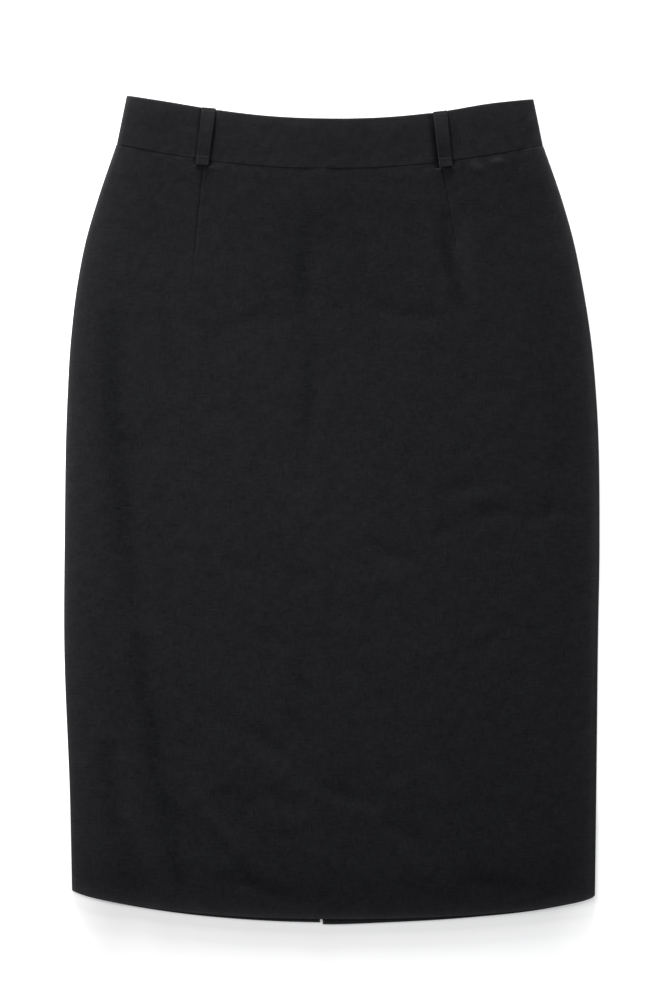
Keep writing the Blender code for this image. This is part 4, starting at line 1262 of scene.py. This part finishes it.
# %% [markdown]
# ## The waistband
#
# A contoured waistband is a curved strip, faced on the inside, so it is thicker than the panels
# and stands a little proud of them at the seam. On the front it is one piece from side seam to side
# seam; on the back it ends at the zip. Beside each belt loop the band has a small furrow, because
# the loop's tacks pull it in.


# %% Height of the waistband
BAND_HEIGHT = 5.1 * MM
BAND_ROWS, BAND_COLUMNS = 26, 330
BAND_WIDTH = 42 * MM
BAND_END_DROP, BAND_END_REACHES = 0.9 * MM, (30 * MM, 24 * MM)  # on the right and on the left
FACING_RIDGE, FACING_BELOW_TOP, FACING_REACH = 0.12 * MM, 1.6 * MM, 1.2 * MM
BACK_TOP_LOWER = 0.8 * MM
# Share of the painted side highlight on the band's ends, and painted highlight along its top edge, which
# faces the lamps beyond the waist.
BAND_SHARE_OF_SIDE_HIGHLIGHT, PAINTED_TOP_EDGE_HIGHLIGHT = 0.65, 0.75


def band_plain(x, up):
    """The band without its small dents. up is 0 at its seam and 1 at its top edge."""
    ends = ramp(x - BAND["seam_x"][0], 0.0, BAND_END_REACHES[0])
    ends = ends + ramp(BAND["seam_x"][-1] - x, 0.0, BAND_END_REACHES[1])
    return BAND_HEIGHT + (0.6 + 0.4 * up) * zip_swell(x) - BAND_END_DROP * ends


def band_height(x, y):
    """Outer face of the front band: a faint ridge where the facing is turned in below its top edge,
    furrows by the loops and small puckers along its seam."""
    facing = FACING_RIDGE * bell(band_top(x) - y - FACING_BELOW_TOP, FACING_REACH)
    return band_plain(x, band_share(x, y)) + unevenness(x, y) + facing - loop_seat(x, y)


def band_end(side, inset=0.0):
    """x of the right (0) or left (-1) end of the band at each height, moved inwards by inset."""
    top = np.array((BAND["top_x"][side], BAND["top_y"][side]))
    seam = np.array((BAND["seam_x"][side], BAND["seam_y"][side]))
    slope = (top[0] - seam[0]) / (top[1] - seam[1])
    inwards = 1.0 if side == 0 else -1.0
    return lambda y: seam[0] + slope * (y - seam[1]) + inwards * inset * np.sqrt(1 + slope**2)


print("height of the waistband's crown, mm:", round(float(band_plain(CENTRE_BACK, 1.0)) / MM, 2))


# %% The pieces of the waistband
def band_front():
    right, left = roll_offsets(0), roll_offsets(1)
    share = np.linspace(0.0, 1.0, BAND_COLUMNS + 1)[1:-1]
    shift = (1 - share) * SIDE_ROLLS["radius"][0] - share * SIDE_ROLLS["radius"][1]
    station = np.concatenate((np.zeros(len(right)), share, np.ones(len(left))))
    offset = np.concatenate((right, shift, -left[::-1]))
    rows = row_shares(BAND_ROWS, BAND_WIDTH)
    guides = (band_end(0), band_end(-1))
    x, y = lay_out(guides, station, offset, lambda x: band_seam(x) + SEWN_GAP, band_top, rows)
    z = rolled_in(band_height(x, y))
    # Painted highlight on the rolled ends and along the top edge, and painted shading beside the loops.
    worn_and_painted_light = BAND_SHARE_OF_SIDE_HIGHLIGHT * painted_side_highlight(x - guides[0](y), guides[1](y) - x, y)
    worn_and_painted_light = worn_and_painted_light + PAINTED_TOP_EDGE_HIGHLIGHT * np.exp((y - band_top(x)) / (4 * MM)) - painted_loop_shading(x, y)
    return cloth_shell("waistband_front_cloth", x, y, z, BAND_WALL, band_cloth, worn_and_painted_light, BAND_RIMS)


def band_back(name, away):
    """One half of the back waistband, from the zip round to the side seam."""
    guides = (centre_edge(away), band_end(-1 if away > 0 else 0, BAND_WALL + SEWN_GAP))
    station = back_stations(0.0, 0.008, 0.018, 0.03)
    rows = row_shares(BAND_ROWS, BAND_WIDTH)
    bottom, top = (lambda x: band_seam(x) + SEWN_GAP), (lambda x: band_top(x) - BACK_TOP_LOWER)
    x, y = lay_out(guides, station, 0.0, bottom, top, rows)
    z = back_lift(x, y)
    worn_and_painted_light = 0.25 * edge_falloff(band_top(x) - y, 3 * MM)
    x, y, z, worn_and_painted_light = facing_down(away, x, y, z, worn_and_painted_light)
    return cloth_shell(name, x, y, z, BAND_WALL, band_cloth, worn_and_painted_light, BAND_RIMS)


front_band = band_front()
back_band_right = band_back("waistband_back_right_cloth", -1)
back_band_left = band_back("waistband_back_left_cloth", 1)

# %% [markdown]
# ## Belt loops
#
# A belt loop is a narrow strip with both long edges turned in. It is held by a bar tack just below
# the top of the band and another just above its own lower end, and stands off the band between
# them. It leans a little, so that the edge towards the middle is the higher one. The back loops lie
# pressed flat under the skirt.


# %% Front loops
LOOP_BULGE, LOOP_LEAN = 0.5 * MM, 0.5 * MM
LOOP_CLEAR, LOOP_EDGE_RAISED = 0.3 * MM, 0.05 * MM
TACK_DENT, TACK_DENT_REACH = 0.04 * MM, 1.3 * MM
LOOP_RIMS = (0.6, 0.6, 0.6, 0.6)
PAINTED_TOP_HIGHLIGHT, PAINTED_TOP_HIGHLIGHT_REACH = 1.3, 0.07  # painted highlight at the top end, and its reach as a share of the loop


def front_loop_points(side, along, across):
    """Points of a front loop. along runs from its lower end to its top, across from -1 to 1.
    Height is the band's, plus the cloth itself, a bulge sin(pi s) between the two tacks, the lean,
    and raised edges where the cloth is turned in."""
    top_y = BAND["top_y"][LOOP_ROWS_OF_BAND[side]] + 0.1 * MM
    slope = loop_axis(side)[2]
    foot_y = loop_axis(side)[1] - LOOP_BELOW_SEAM
    y0 = foot_y + (top_y - foot_y) * along
    square = np.sqrt(1 + slope**2)
    half = (LOOP_WIDTH + LOOP_TOP_WIDER * along) / 2
    x = loop_middle(side, y0) + across * half / square
    y = y0 - across * half * slope / square
    length = (top_y - foot_y) * square
    s = (along * length - LOOP_FOOT_TACK) / (length - LOOP_FOOT_TACK - LOOP_TOP_TACK)
    bulge = LOOP_BULGE * np.sin(np.pi * np.clip(s, 0.0, 1.0))
    tacked = TACK_DENT * (bell(along * length - LOOP_FOOT_TACK, TACK_DENT_REACH)
                          + bell((1 - along) * length - LOOP_TOP_TACK, TACK_DENT_REACH))
    inwards = 1.0 if side == "right" else -1.0
    lean = LOOP_LEAN * across * inwards * (0.4 + 0.6 * np.sin(np.pi * along))
    turned = LOOP_EDGE_RAISED * np.abs(across) ** 3
    tucked = LOOP_TUCK * ramp(along * length, LOOP_FOOT_TACK - 2 * MM, LOOP_FOOT_TACK + 15 * MM)
    level = band_plain(x, band_share(x, y)) + LOOP_CLEAR + LOOP_WALL
    return x, y, level + bulge - tacked - tucked + lean + turned


def strip_grid(rows, columns):
    """A grid along a strip from 0 to 1 and across it from -1 to 1."""
    return np.meshgrid(np.linspace(0.0, 1.0, rows), np.linspace(-1.0, 1.0, columns), indexing="ij")


def front_loop(side):
    along, across = strip_grid(64, 18)
    x, y, z = front_loop_points(side, along, across)
    # Painted highlight at the top end, where the loop turns over the band's top edge towards the lamps
    # beyond the waist. Painted light over the whole loop, and a little more on its lower half.
    worn_and_painted_light = PAINTED_TOP_HIGHLIGHT * np.exp((along - 1) / PAINTED_TOP_HIGHLIGHT_REACH) + PAINTED_LOOP_LIGHT[side]
    worn_and_painted_light = worn_and_painted_light + 0.08 * edge_falloff(along, 0.5)
    return cloth_shell("front_loop_" + side, x, y, z, LOOP_WALL, band_cloth, worn_and_painted_light, LOOP_RIMS)


front_loops = {side: front_loop(side) for side in ("right", "left")}


# %% Back loops
BACK_LOOP_DENT, BACK_DENT_REACH = 0.25 * MM, 1.6 * MM
BACK_LOOP_LENGTH = 46 * MM


def back_loop_points(away, along, across):
    """Points of a back loop on the table, dented up where its bar tacks hold it."""
    middle = CENTRE_BACK + away * BACK_LOOP_OFFSET
    seam, top = float(band_seam(np.array(middle))), float(band_top(np.array(middle)))
    low, high = seam - LOOP_BELOW_SEAM, top - 1.2 * MM
    x = middle - across * LOOP_WIDTH / 2
    y = low + (high - low) * along
    foot, head = y - low - LOOP_FOOT_TACK, high - y - LOOP_TOP_TACK
    return x, y, BACK_LOOP_DENT * (bell(foot, BACK_DENT_REACH) + bell(head, BACK_DENT_REACH))


def back_loop(name, away):
    along, across = strip_grid(50, 12)
    x, y, z = back_loop_points(away, along, across)
    return cloth_shell(name, x, y, z, LOOP_WALL - BACK_LOOP_DENT, band_cloth)


back_loops = {side: back_loop("back_loop_" + side, away) for away, side in ((-1, "right"), (1, "left"))}

# %% [markdown]
# ## Sewing
#
# Bar tacks are short dense rows of stitches. Each stitch is a small closed tube that arches over
# the cloth: a circle carried along a half wave. All stitches of a tack are worked out together, as
# one array, and joined in one mesh.


# %% Helper: closed tubes
def tubes(name, rings, finish):
    """Closed bodies from rings: an array with the axes body, ring, point on the ring, and x, y, z.
    Each body is closed at both ends by a fan round the middle of its last ring."""
    bodies, count, points = rings.shape[:3]
    poles = np.stack((rings[:, 0].mean(axis=1), rings[:, -1].mean(axis=1)), axis=1)
    vertices = np.concatenate((rings.reshape(bodies, -1, 3), poles), axis=1)
    index = np.arange(count * points).reshape(count, points)
    index = np.concatenate((index, index[:, :1]), axis=1)
    walls = grid_faces(index)
    first, last = count * points, count * points + 1
    start = np.stack((np.full(points, first), index[0, 1:], index[0, :-1]), axis=-1)
    end = np.stack((np.full(points, last), index[-1, :-1], index[-1, 1:]), axis=-1)
    shift = (np.arange(bodies) * vertices.shape[1])[:, None, None]
    faces = [(walls + shift).reshape(-1, 4), (np.concatenate((start, end)) + shift).reshape(-1, 3)]
    return mesh_object(name, vertices.reshape(-1, 3), faces, finish)


def thread_rings(start, end, normal, radius, arch, steps=7, sides=6):
    """Rings of stitches from start to end, arrays of points: centre = start + t (end - start) +
    normal * arch * sin(pi t), and the ring is a circle square to the stitch, thinner at its ends."""
    t = np.linspace(0.0, 1.0, steps)
    centre = start[:, None] + (end - start)[:, None] * t[:, None]
    centre = centre + normal * arch * np.sin(np.pi * t)[:, None]
    along = unit(end - start)[:, None, None]
    sideways = unit(np.cross(along, normal))
    turn = np.linspace(0.0, 2 * np.pi, sides, endpoint=False)
    thick = radius * (0.35 + 0.65 * np.sin(np.pi * t) ** 0.5)
    circle = np.cos(turn)[:, None] * sideways + np.sin(turn)[:, None] * normal
    return centre[:, :, None] + circle * thick[:, None, None]


# %% Bar tacks
THREAD_RADIUS = 0.12 * MM
TACK_STITCHES, TACK_HALF_HEIGHT, TACK_SPAN = 26, 0.8 * MM, 0.86  # span as a share of the loop's width
STITCH_ARCH, STITCH_SUNK, STITCH_LEAN = 0.07 * MM, 0.05 * MM, 0.018
SLIT_TACK_HALF, SLIT_TACK_RISE, SLIT_TACK_LEVEL = 4.0 * MM, 0.9 * MM, 0.32 * MM
UP, DOWN = np.array((0.0, 0.0, 1.0)), np.array((0.0, 0.0, -1.0))


def tack_on(surface, middle, length, normal):
    """Stitches of a tack across a loop: each goes from just below to just above the tack's middle
    line, and every second one leans the other way."""
    across = np.linspace(-TACK_SPAN, TACK_SPAN, TACK_STITCHES)
    lean = np.where(np.arange(TACK_STITCHES) % 2, STITCH_LEAN, -STITCH_LEAN)
    reach = TACK_HALF_HEIGHT / length
    start = np.stack(surface(np.full(TACK_STITCHES, middle - reach), across - lean), axis=-1)
    end = np.stack(surface(np.full(TACK_STITCHES, middle + reach), across + lean), axis=-1)
    sunk = normal * -STITCH_SUNK
    return thread_rings(start + sunk, end + sunk, normal, THREAD_RADIUS, STITCH_ARCH)


def loop_tacks():
    rings = []
    for side, row in LOOP_ROWS_OF_BAND.items():
        length = BAND["top_y"][row] - BAND["seam_y"][row] + LOOP_BELOW_SEAM
        surface = (lambda along, across, side=side: front_loop_points(side, along, across))
        for middle in (LOOP_FOOT_TACK / length, 1 - LOOP_TOP_TACK / length):
            rings.append(tack_on(surface, middle, length, UP))
    return tubes("front_loop_tacks", np.concatenate(rings), sewing_thread)


def back_tacks():
    """Tacks of the back loops, and the one that ends the slit. They stay above the table."""
    rings = []
    for away in (-1, 1):
        surface = (lambda along, across, away=away: back_loop_points(away, along, across))
        for middle in (LOOP_FOOT_TACK / BACK_LOOP_LENGTH, 1 - LOOP_TOP_TACK / BACK_LOOP_LENGTH):
            rings.append(tack_on(surface, middle, BACK_LOOP_LENGTH, DOWN) + UP * THREAD_RADIUS)
    x = CENTRE_BACK + np.linspace(-SLIT_TACK_HALF, SLIT_TACK_HALF, TACK_STITCHES)
    start = np.stack(np.broadcast_arrays(x, SLIT_TOP - SLIT_TACK_RISE, SLIT_TACK_LEVEL), axis=-1)
    end = np.stack(np.broadcast_arrays(x + 0.15 * MM, SLIT_TOP + SLIT_TACK_RISE, SLIT_TACK_LEVEL), axis=-1)
    rings.append(thread_rings(start, end, DOWN, THREAD_RADIUS, 0.1 * MM))
    return tubes("back_tacks", np.concatenate(rings), sewing_thread)


front_threads, back_threads = loop_tacks(), back_tacks()
print("faces of all stitches:", sum(len(made.data.polygons) for made in (front_threads, back_threads)))

# %% [markdown]
# ## The zip
#
# A concealed zip has its coil on the inside. Two nylon helices mesh along the centre back, each
# sewn to a woven tape. The slider runs on the coil, and only its narrow neck comes through to the
# outside, where it holds the pull tab. The tab is the one hard piece that swings.


# %% Tapes
ZIP_TOP, ZIP_BOTTOM = 322.0 * MM, 84.0 * MM
TAPE_WIDTH, TAPE_WALL = 12.0 * MM, 0.4 * MM
TAPE_ABOVE_ZIP = 2 * MM
COIL_HALF, COIL_WALL = 2.0 * MM, 0.9 * MM
BED_CLEAR = 0.3 * MM  # space between the layers of the zip


def zip_bed(y):
    """Where the zip lies on the inside of the back."""
    return back_lift(np.full_like(y, CENTRE_BACK), y) + BAND_WALL + BED_CLEAR


def zip_tape(name, away):
    """A woven tape beside the coil. Its upper face is the outer one."""
    up, across = np.meshgrid(np.linspace(0.0, 1.0, 160), np.linspace(0.0, 1.0, 14), indexing="ij")
    inner = COIL_HALF + BED_CLEAR
    x = CENTRE_BACK + away * inner + TAPE_WIDTH * (across if away > 0 else across - 1)
    y = ZIP_BOTTOM + (ZIP_TOP + TAPE_ABOVE_ZIP - ZIP_BOTTOM) * up
    return cloth_shell(name, x, y, zip_bed(y) + TAPE_WALL, TAPE_WALL, tape_cloth)


tapes = {side: zip_tape("zip_tape_woven_" + side, away) for away, side in ((-1, "right"), (1, "left"))}


# %% Coil
COIL_PITCH = 1.25 * MM
COIL_OFFSET, COIL_SWING, COIL_RISE = 0.85 * MM, 0.95 * MM, 0.25 * MM
FILAMENT, FILAMENT_SIDES, RINGS_A_TURN = 0.2 * MM, 5, 12


def coil_rings():
    """Two flat helices: x = middle +- (offset + swing * cos a), z = level + rise * sin a, and y goes
    up by one pitch a turn. The second is half a pitch higher, so that they mesh."""
    turns = (ZIP_TOP - ZIP_BOTTOM - 2 * COIL_PITCH) / COIL_PITCH
    angle = np.linspace(0.0, 2 * np.pi * turns, int(turns * RINGS_A_TURN))
    turn = np.linspace(0.0, 2 * np.pi, FILAMENT_SIDES, endpoint=False)
    both = []
    for away, lead in ((-1, 0.0), (1, 0.5)):
        y = ZIP_BOTTOM + COIL_PITCH * (angle / (2 * np.pi) + lead + 0.5)
        x = CENTRE_BACK + away * (COIL_OFFSET + COIL_SWING * np.cos(angle))
        z = zip_bed(y) + COIL_WALL / 2 + COIL_RISE * np.sin(angle)
        centre = np.stack((x, y, z), axis=-1)
        along = unit(np.gradient(centre, axis=0))
        first = unit(np.cross(along, (0.0, 1.0, 0.0)))
        second = np.cross(along, first)
        circle = np.cos(turn)[:, None] * first[:, None] + np.sin(turn)[:, None] * second[:, None]
        both.append(centre[:, None] + FILAMENT * circle)
    return np.stack(both)


coil = tubes("zip_coil_helices", coil_rings(), nylon)
print("coil turns on each side:", round((ZIP_TOP - ZIP_BOTTOM) / COIL_PITCH))

# %% [markdown]
# ## Slider and pull tab
#
# Die-cast pieces have round edges everywhere. The slider's body is a superellipse with soft
# shoulders. Neck and tab are plates with an eye, so each is a closed ring: its cross-section is
# carried once round between the outline of the eye and the outer outline.


# %% Helper: a plate with an eye
PLATE_ROUND = np.radians(np.linspace(-90.0, 90.0, 5))


def plate_with_eye(outer, inner, half, dish=0.0):
    """A ring-shaped plate in local x, y, with z across it. outer and inner are outlines with the
    same number of points. Along a line from one to the other, a section goes over the upper face
    and back under the lower one, and each rim is a half circle of the plate's half thickness."""
    line = outer - inner
    length = np.linalg.norm(line, axis=1, keepdims=True)
    direction = line / length
    radius = np.minimum(half, length[:, 0].min() / 2.2)
    inset = direction * radius
    rim_out = [(outer - inset * (1 - np.cos(a)), radius * np.sin(a)) for a in PLATE_ROUND[::-1]]
    rim_in = [(inner + inset * (1 - np.cos(a)), radius * np.sin(a)) for a in PLATE_ROUND]
    flat = np.linspace(0.0, 1.0, 6)[1:-1]
    start, end = inner + inset, outer - inset
    over = [(start + (end - start) * w, radius - dish * np.sin(np.pi * w)) for w in flat]
    under = [(end + (start - end) * w, dish * np.sin(np.pi * w) - radius) for w in flat]
    stretch = half / radius
    rows = [
        np.concatenate((place, np.full((len(outer), 1), height * stretch)), axis=1)
        for place, height in (*over, *rim_out, *under, *rim_in)
    ]
    return np.stack(rows, axis=0)


def ring_object(name, rows, finish):
    """A mesh from rows of points that close on themselves both ways, like a torus."""
    index = np.arange(rows.shape[0] * rows.shape[1]).reshape(rows.shape[:2])
    index = np.concatenate((index, index[:1]), axis=0)
    index = np.concatenate((index, index[:, :1]), axis=1)
    return mesh_object(name, rows.reshape(-1, 3), [grid_faces(index)], finish)


def walk(points, count):
    """A closed outline resampled to count points at even distances."""
    closed = np.concatenate((points, points[:1]))
    far = np.concatenate(([0.0], np.cumsum(np.hypot(*np.diff(closed, axis=0).T))))
    at = np.linspace(0.0, far[-1], count, endpoint=False)
    return np.stack([np.interp(at, far, closed[:, i]) for i in (0, 1)], axis=1)


def arc(centre, radius, start, end, steps=24):
    angles = np.radians(np.linspace(start, end, steps))
    return [(centre[0] + radius * np.cos(a), centre[1] + radius * np.sin(a)) for a in angles]


# %% The pull tab
HINGE_Y, HINGE_Z = 324.0 * MM, 0.95 * MM
TAB_LENGTH, TAB_HALF_WIDTH, TAB_TIP_HALF = 21.0 * MM, 2.3 * MM, 1.5 * MM
TAB_HALF, TAB_BAR_HALF = 0.25 * MM, 0.25 * MM
TAB_WAIST_START, TAB_WAIST_END = -7.0 * MM, -11.0 * MM
TAB_EYE = (1.0 * MM, 0.7 * MM)  # half width and half length
EYE_RADIUS, NECK_RADIUS, NECK_HALF = 0.65 * MM, 0.95 * MM, 0.6 * MM


def squared(values, power):
    """A sine or cosine raised to a power below 1 with its sign kept, which squares a round shape off."""
    return np.sign(values) * np.abs(values) ** power


def tab_outline():
    """The tab from its bar down: straight sides, a waist, a narrower grip and a round tip."""
    tip = (0.0, TAB_BAR_HALF - TAB_LENGTH + TAB_TIP_HALF)
    shape = [(TAB_HALF_WIDTH, TAB_BAR_HALF), (-TAB_HALF_WIDTH, TAB_BAR_HALF)]
    shape += [(-TAB_HALF_WIDTH, TAB_WAIST_START), (-TAB_TIP_HALF, TAB_WAIST_END)]
    shape += arc(tip, TAB_TIP_HALF, 180, 360)
    shape += [(TAB_TIP_HALF, TAB_WAIST_END), (TAB_HALF_WIDTH, TAB_WAIST_START)]
    return walk(np.array(shape), 120)


def pull_tab():
    outer = tab_outline()
    middle = np.array((0.0, -TAB_BAR_HALF - TAB_EYE[1]))
    towards = np.arctan2(*(outer - middle).T[::-1])
    round_x, round_y = squared(np.cos(towards), 0.5), squared(np.sin(towards), 0.5)
    inner = middle + np.stack((TAB_EYE[0] * round_x, TAB_EYE[1] * round_y), axis=1)
    rows = plate_with_eye(outer, inner, TAB_HALF, dish=0.05 * MM)
    rows = rows + np.array((CENTRE_BACK, HINGE_Y, HINGE_Z))
    return ring_object("pull_tab_lacquered", rows, black_lacquer)


# %% The slider
SLIDER_HALF = np.array((3.0, 4.5, 0.25)) * MM
PLATE_LEVEL = LIFT + BAND_WALL + BED_CLEAR + COIL_WALL + BED_CLEAR


def slider_body():
    """A superellipse: x = a c(v, 0.35) c(u, 0.6), y = b c(v, 0.35) s(u, 0.6), z = h s(v, 0.7), where c
    and s are the cosine and the sine squared off with that power."""
    tilts, turns = np.linspace(-88.0, 88.0, 12), np.linspace(0.0, 360.0, 48, endpoint=False)
    v, u = np.meshgrid(np.radians(tilts), np.radians(turns), indexing="ij")
    wide = squared(np.cos(v), 0.35)
    x, y = wide * squared(np.cos(u), 0.6), wide * squared(np.sin(u), 0.6)
    rings = np.stack((x, y, squared(np.sin(v), 0.7)), axis=-1) * SLIDER_HALF
    place = (CENTRE_BACK, HINGE_Y + NECK_RADIUS - SLIDER_HALF[1], PLATE_LEVEL + SLIDER_HALF[2])
    return tubes("slider_body", (rings + place)[None], black_lacquer)


def slider_neck():
    """A plate across the opening, round at its outer end, with the eye that holds the tab."""
    top = PLATE_LEVEL + 0.2 * MM - HINGE_Z
    shape = arc((0.0, 0.0), NECK_RADIUS, 180, 360) + [(NECK_RADIUS, top), (-NECK_RADIUS, top)]
    outer = walk(np.array(shape), 72)
    towards = np.arctan2(*outer.T[::-1])
    inner = EYE_RADIUS * np.stack((np.cos(towards), np.sin(towards)), axis=1)
    rows = plate_with_eye(outer, inner, NECK_HALF)
    placed = np.stack((rows[..., 2], rows[..., 0], rows[..., 1]), axis=-1)
    placed = placed + np.array((CENTRE_BACK, HINGE_Y, HINGE_Z))
    return ring_object("slider_neck", placed, black_lacquer)


tab = pull_tab()
slider = slider_body()
neck = slider_neck()
print("zip pieces:", [piece.name for piece in (tab, slider, neck)])

# %% [markdown]
# ## What each piece stands for
#
# Every piece rides on a body of the frame, and most stand for a solid, which is hidden. The table
# also lists each cloth piece's slot, the flat size that it was cut to, as far as it shows, and what it
# lies on, but the script doesn't use these.

# %% Bodies and solids, with a table that also lists slots and flat sizes
BACKS = ["skirt_back_right", "skirt_back_left"]
BACK_BANDS, FRONT_BAND = ["waistband_back_right", "waistband_back_left"], ["waistband_front"]
STANDS_FOR = (  # piece, its solid, slot, flat size, area unless it is a rectangle, what it lies on
    (front, "skirt_front", "suiting", (0.462, 0.645), 0.290, BACKS),
    (back_right, "skirt_back_right", "suiting", (0.222, 0.640), 0.134, []),
    (back_left, "skirt_back_left", "suiting", (0.240, 0.640), 0.145, []),
    (front_band, "waistband_front", "suiting", (0.368, 0.062), 0.0157, BACK_BANDS),
    (back_band_right, "waistband_back_right", "suiting", (0.176, 0.058), 0.0071, []),
    (back_band_left, "waistband_back_left", "suiting", (0.190, 0.056), 0.0078, []),
    (front_loops["right"], "belt_loop_front_right", "suiting", (0.0116, 0.0490), None, FRONT_BAND),
    (front_loops["left"], "belt_loop_front_left", "suiting", (0.0116, 0.0480), None, FRONT_BAND),
    (back_loops["right"], "belt_loop_back_right", "suiting", (0.0116, 0.0460), None, []),
    (back_loops["left"], "belt_loop_back_left", "suiting", (0.0116, 0.0460), None, []),
    (tapes["right"], "zip_tape_right", "zip_tape", (0.012, 0.240), None, BACKS[:1]),
    (tapes["left"], "zip_tape_left", "zip_tape", (0.012, 0.240), None, BACKS[1:]),
)
for piece, node, slot, flat, area, beneath in STANDS_FOR:
    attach(piece, "skirt")
    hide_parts(node)
for piece, node, slot, body in (
    (coil, "zip_coil", "zip_coil", "skirt"),
    (slider, "zip_slider", "slider_metal", "skirt"),
    (tab, "zip_pull_tab", "slider_metal", "pull_tab"),
):
    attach(piece, body)
    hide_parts(node)
for piece, slot in ((neck, "slider_metal"), (front_threads, "suiting"), (back_threads, "suiting")):
    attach(piece, "skirt")
print("cloth pieces with a flat size:", len(STANDS_FOR))
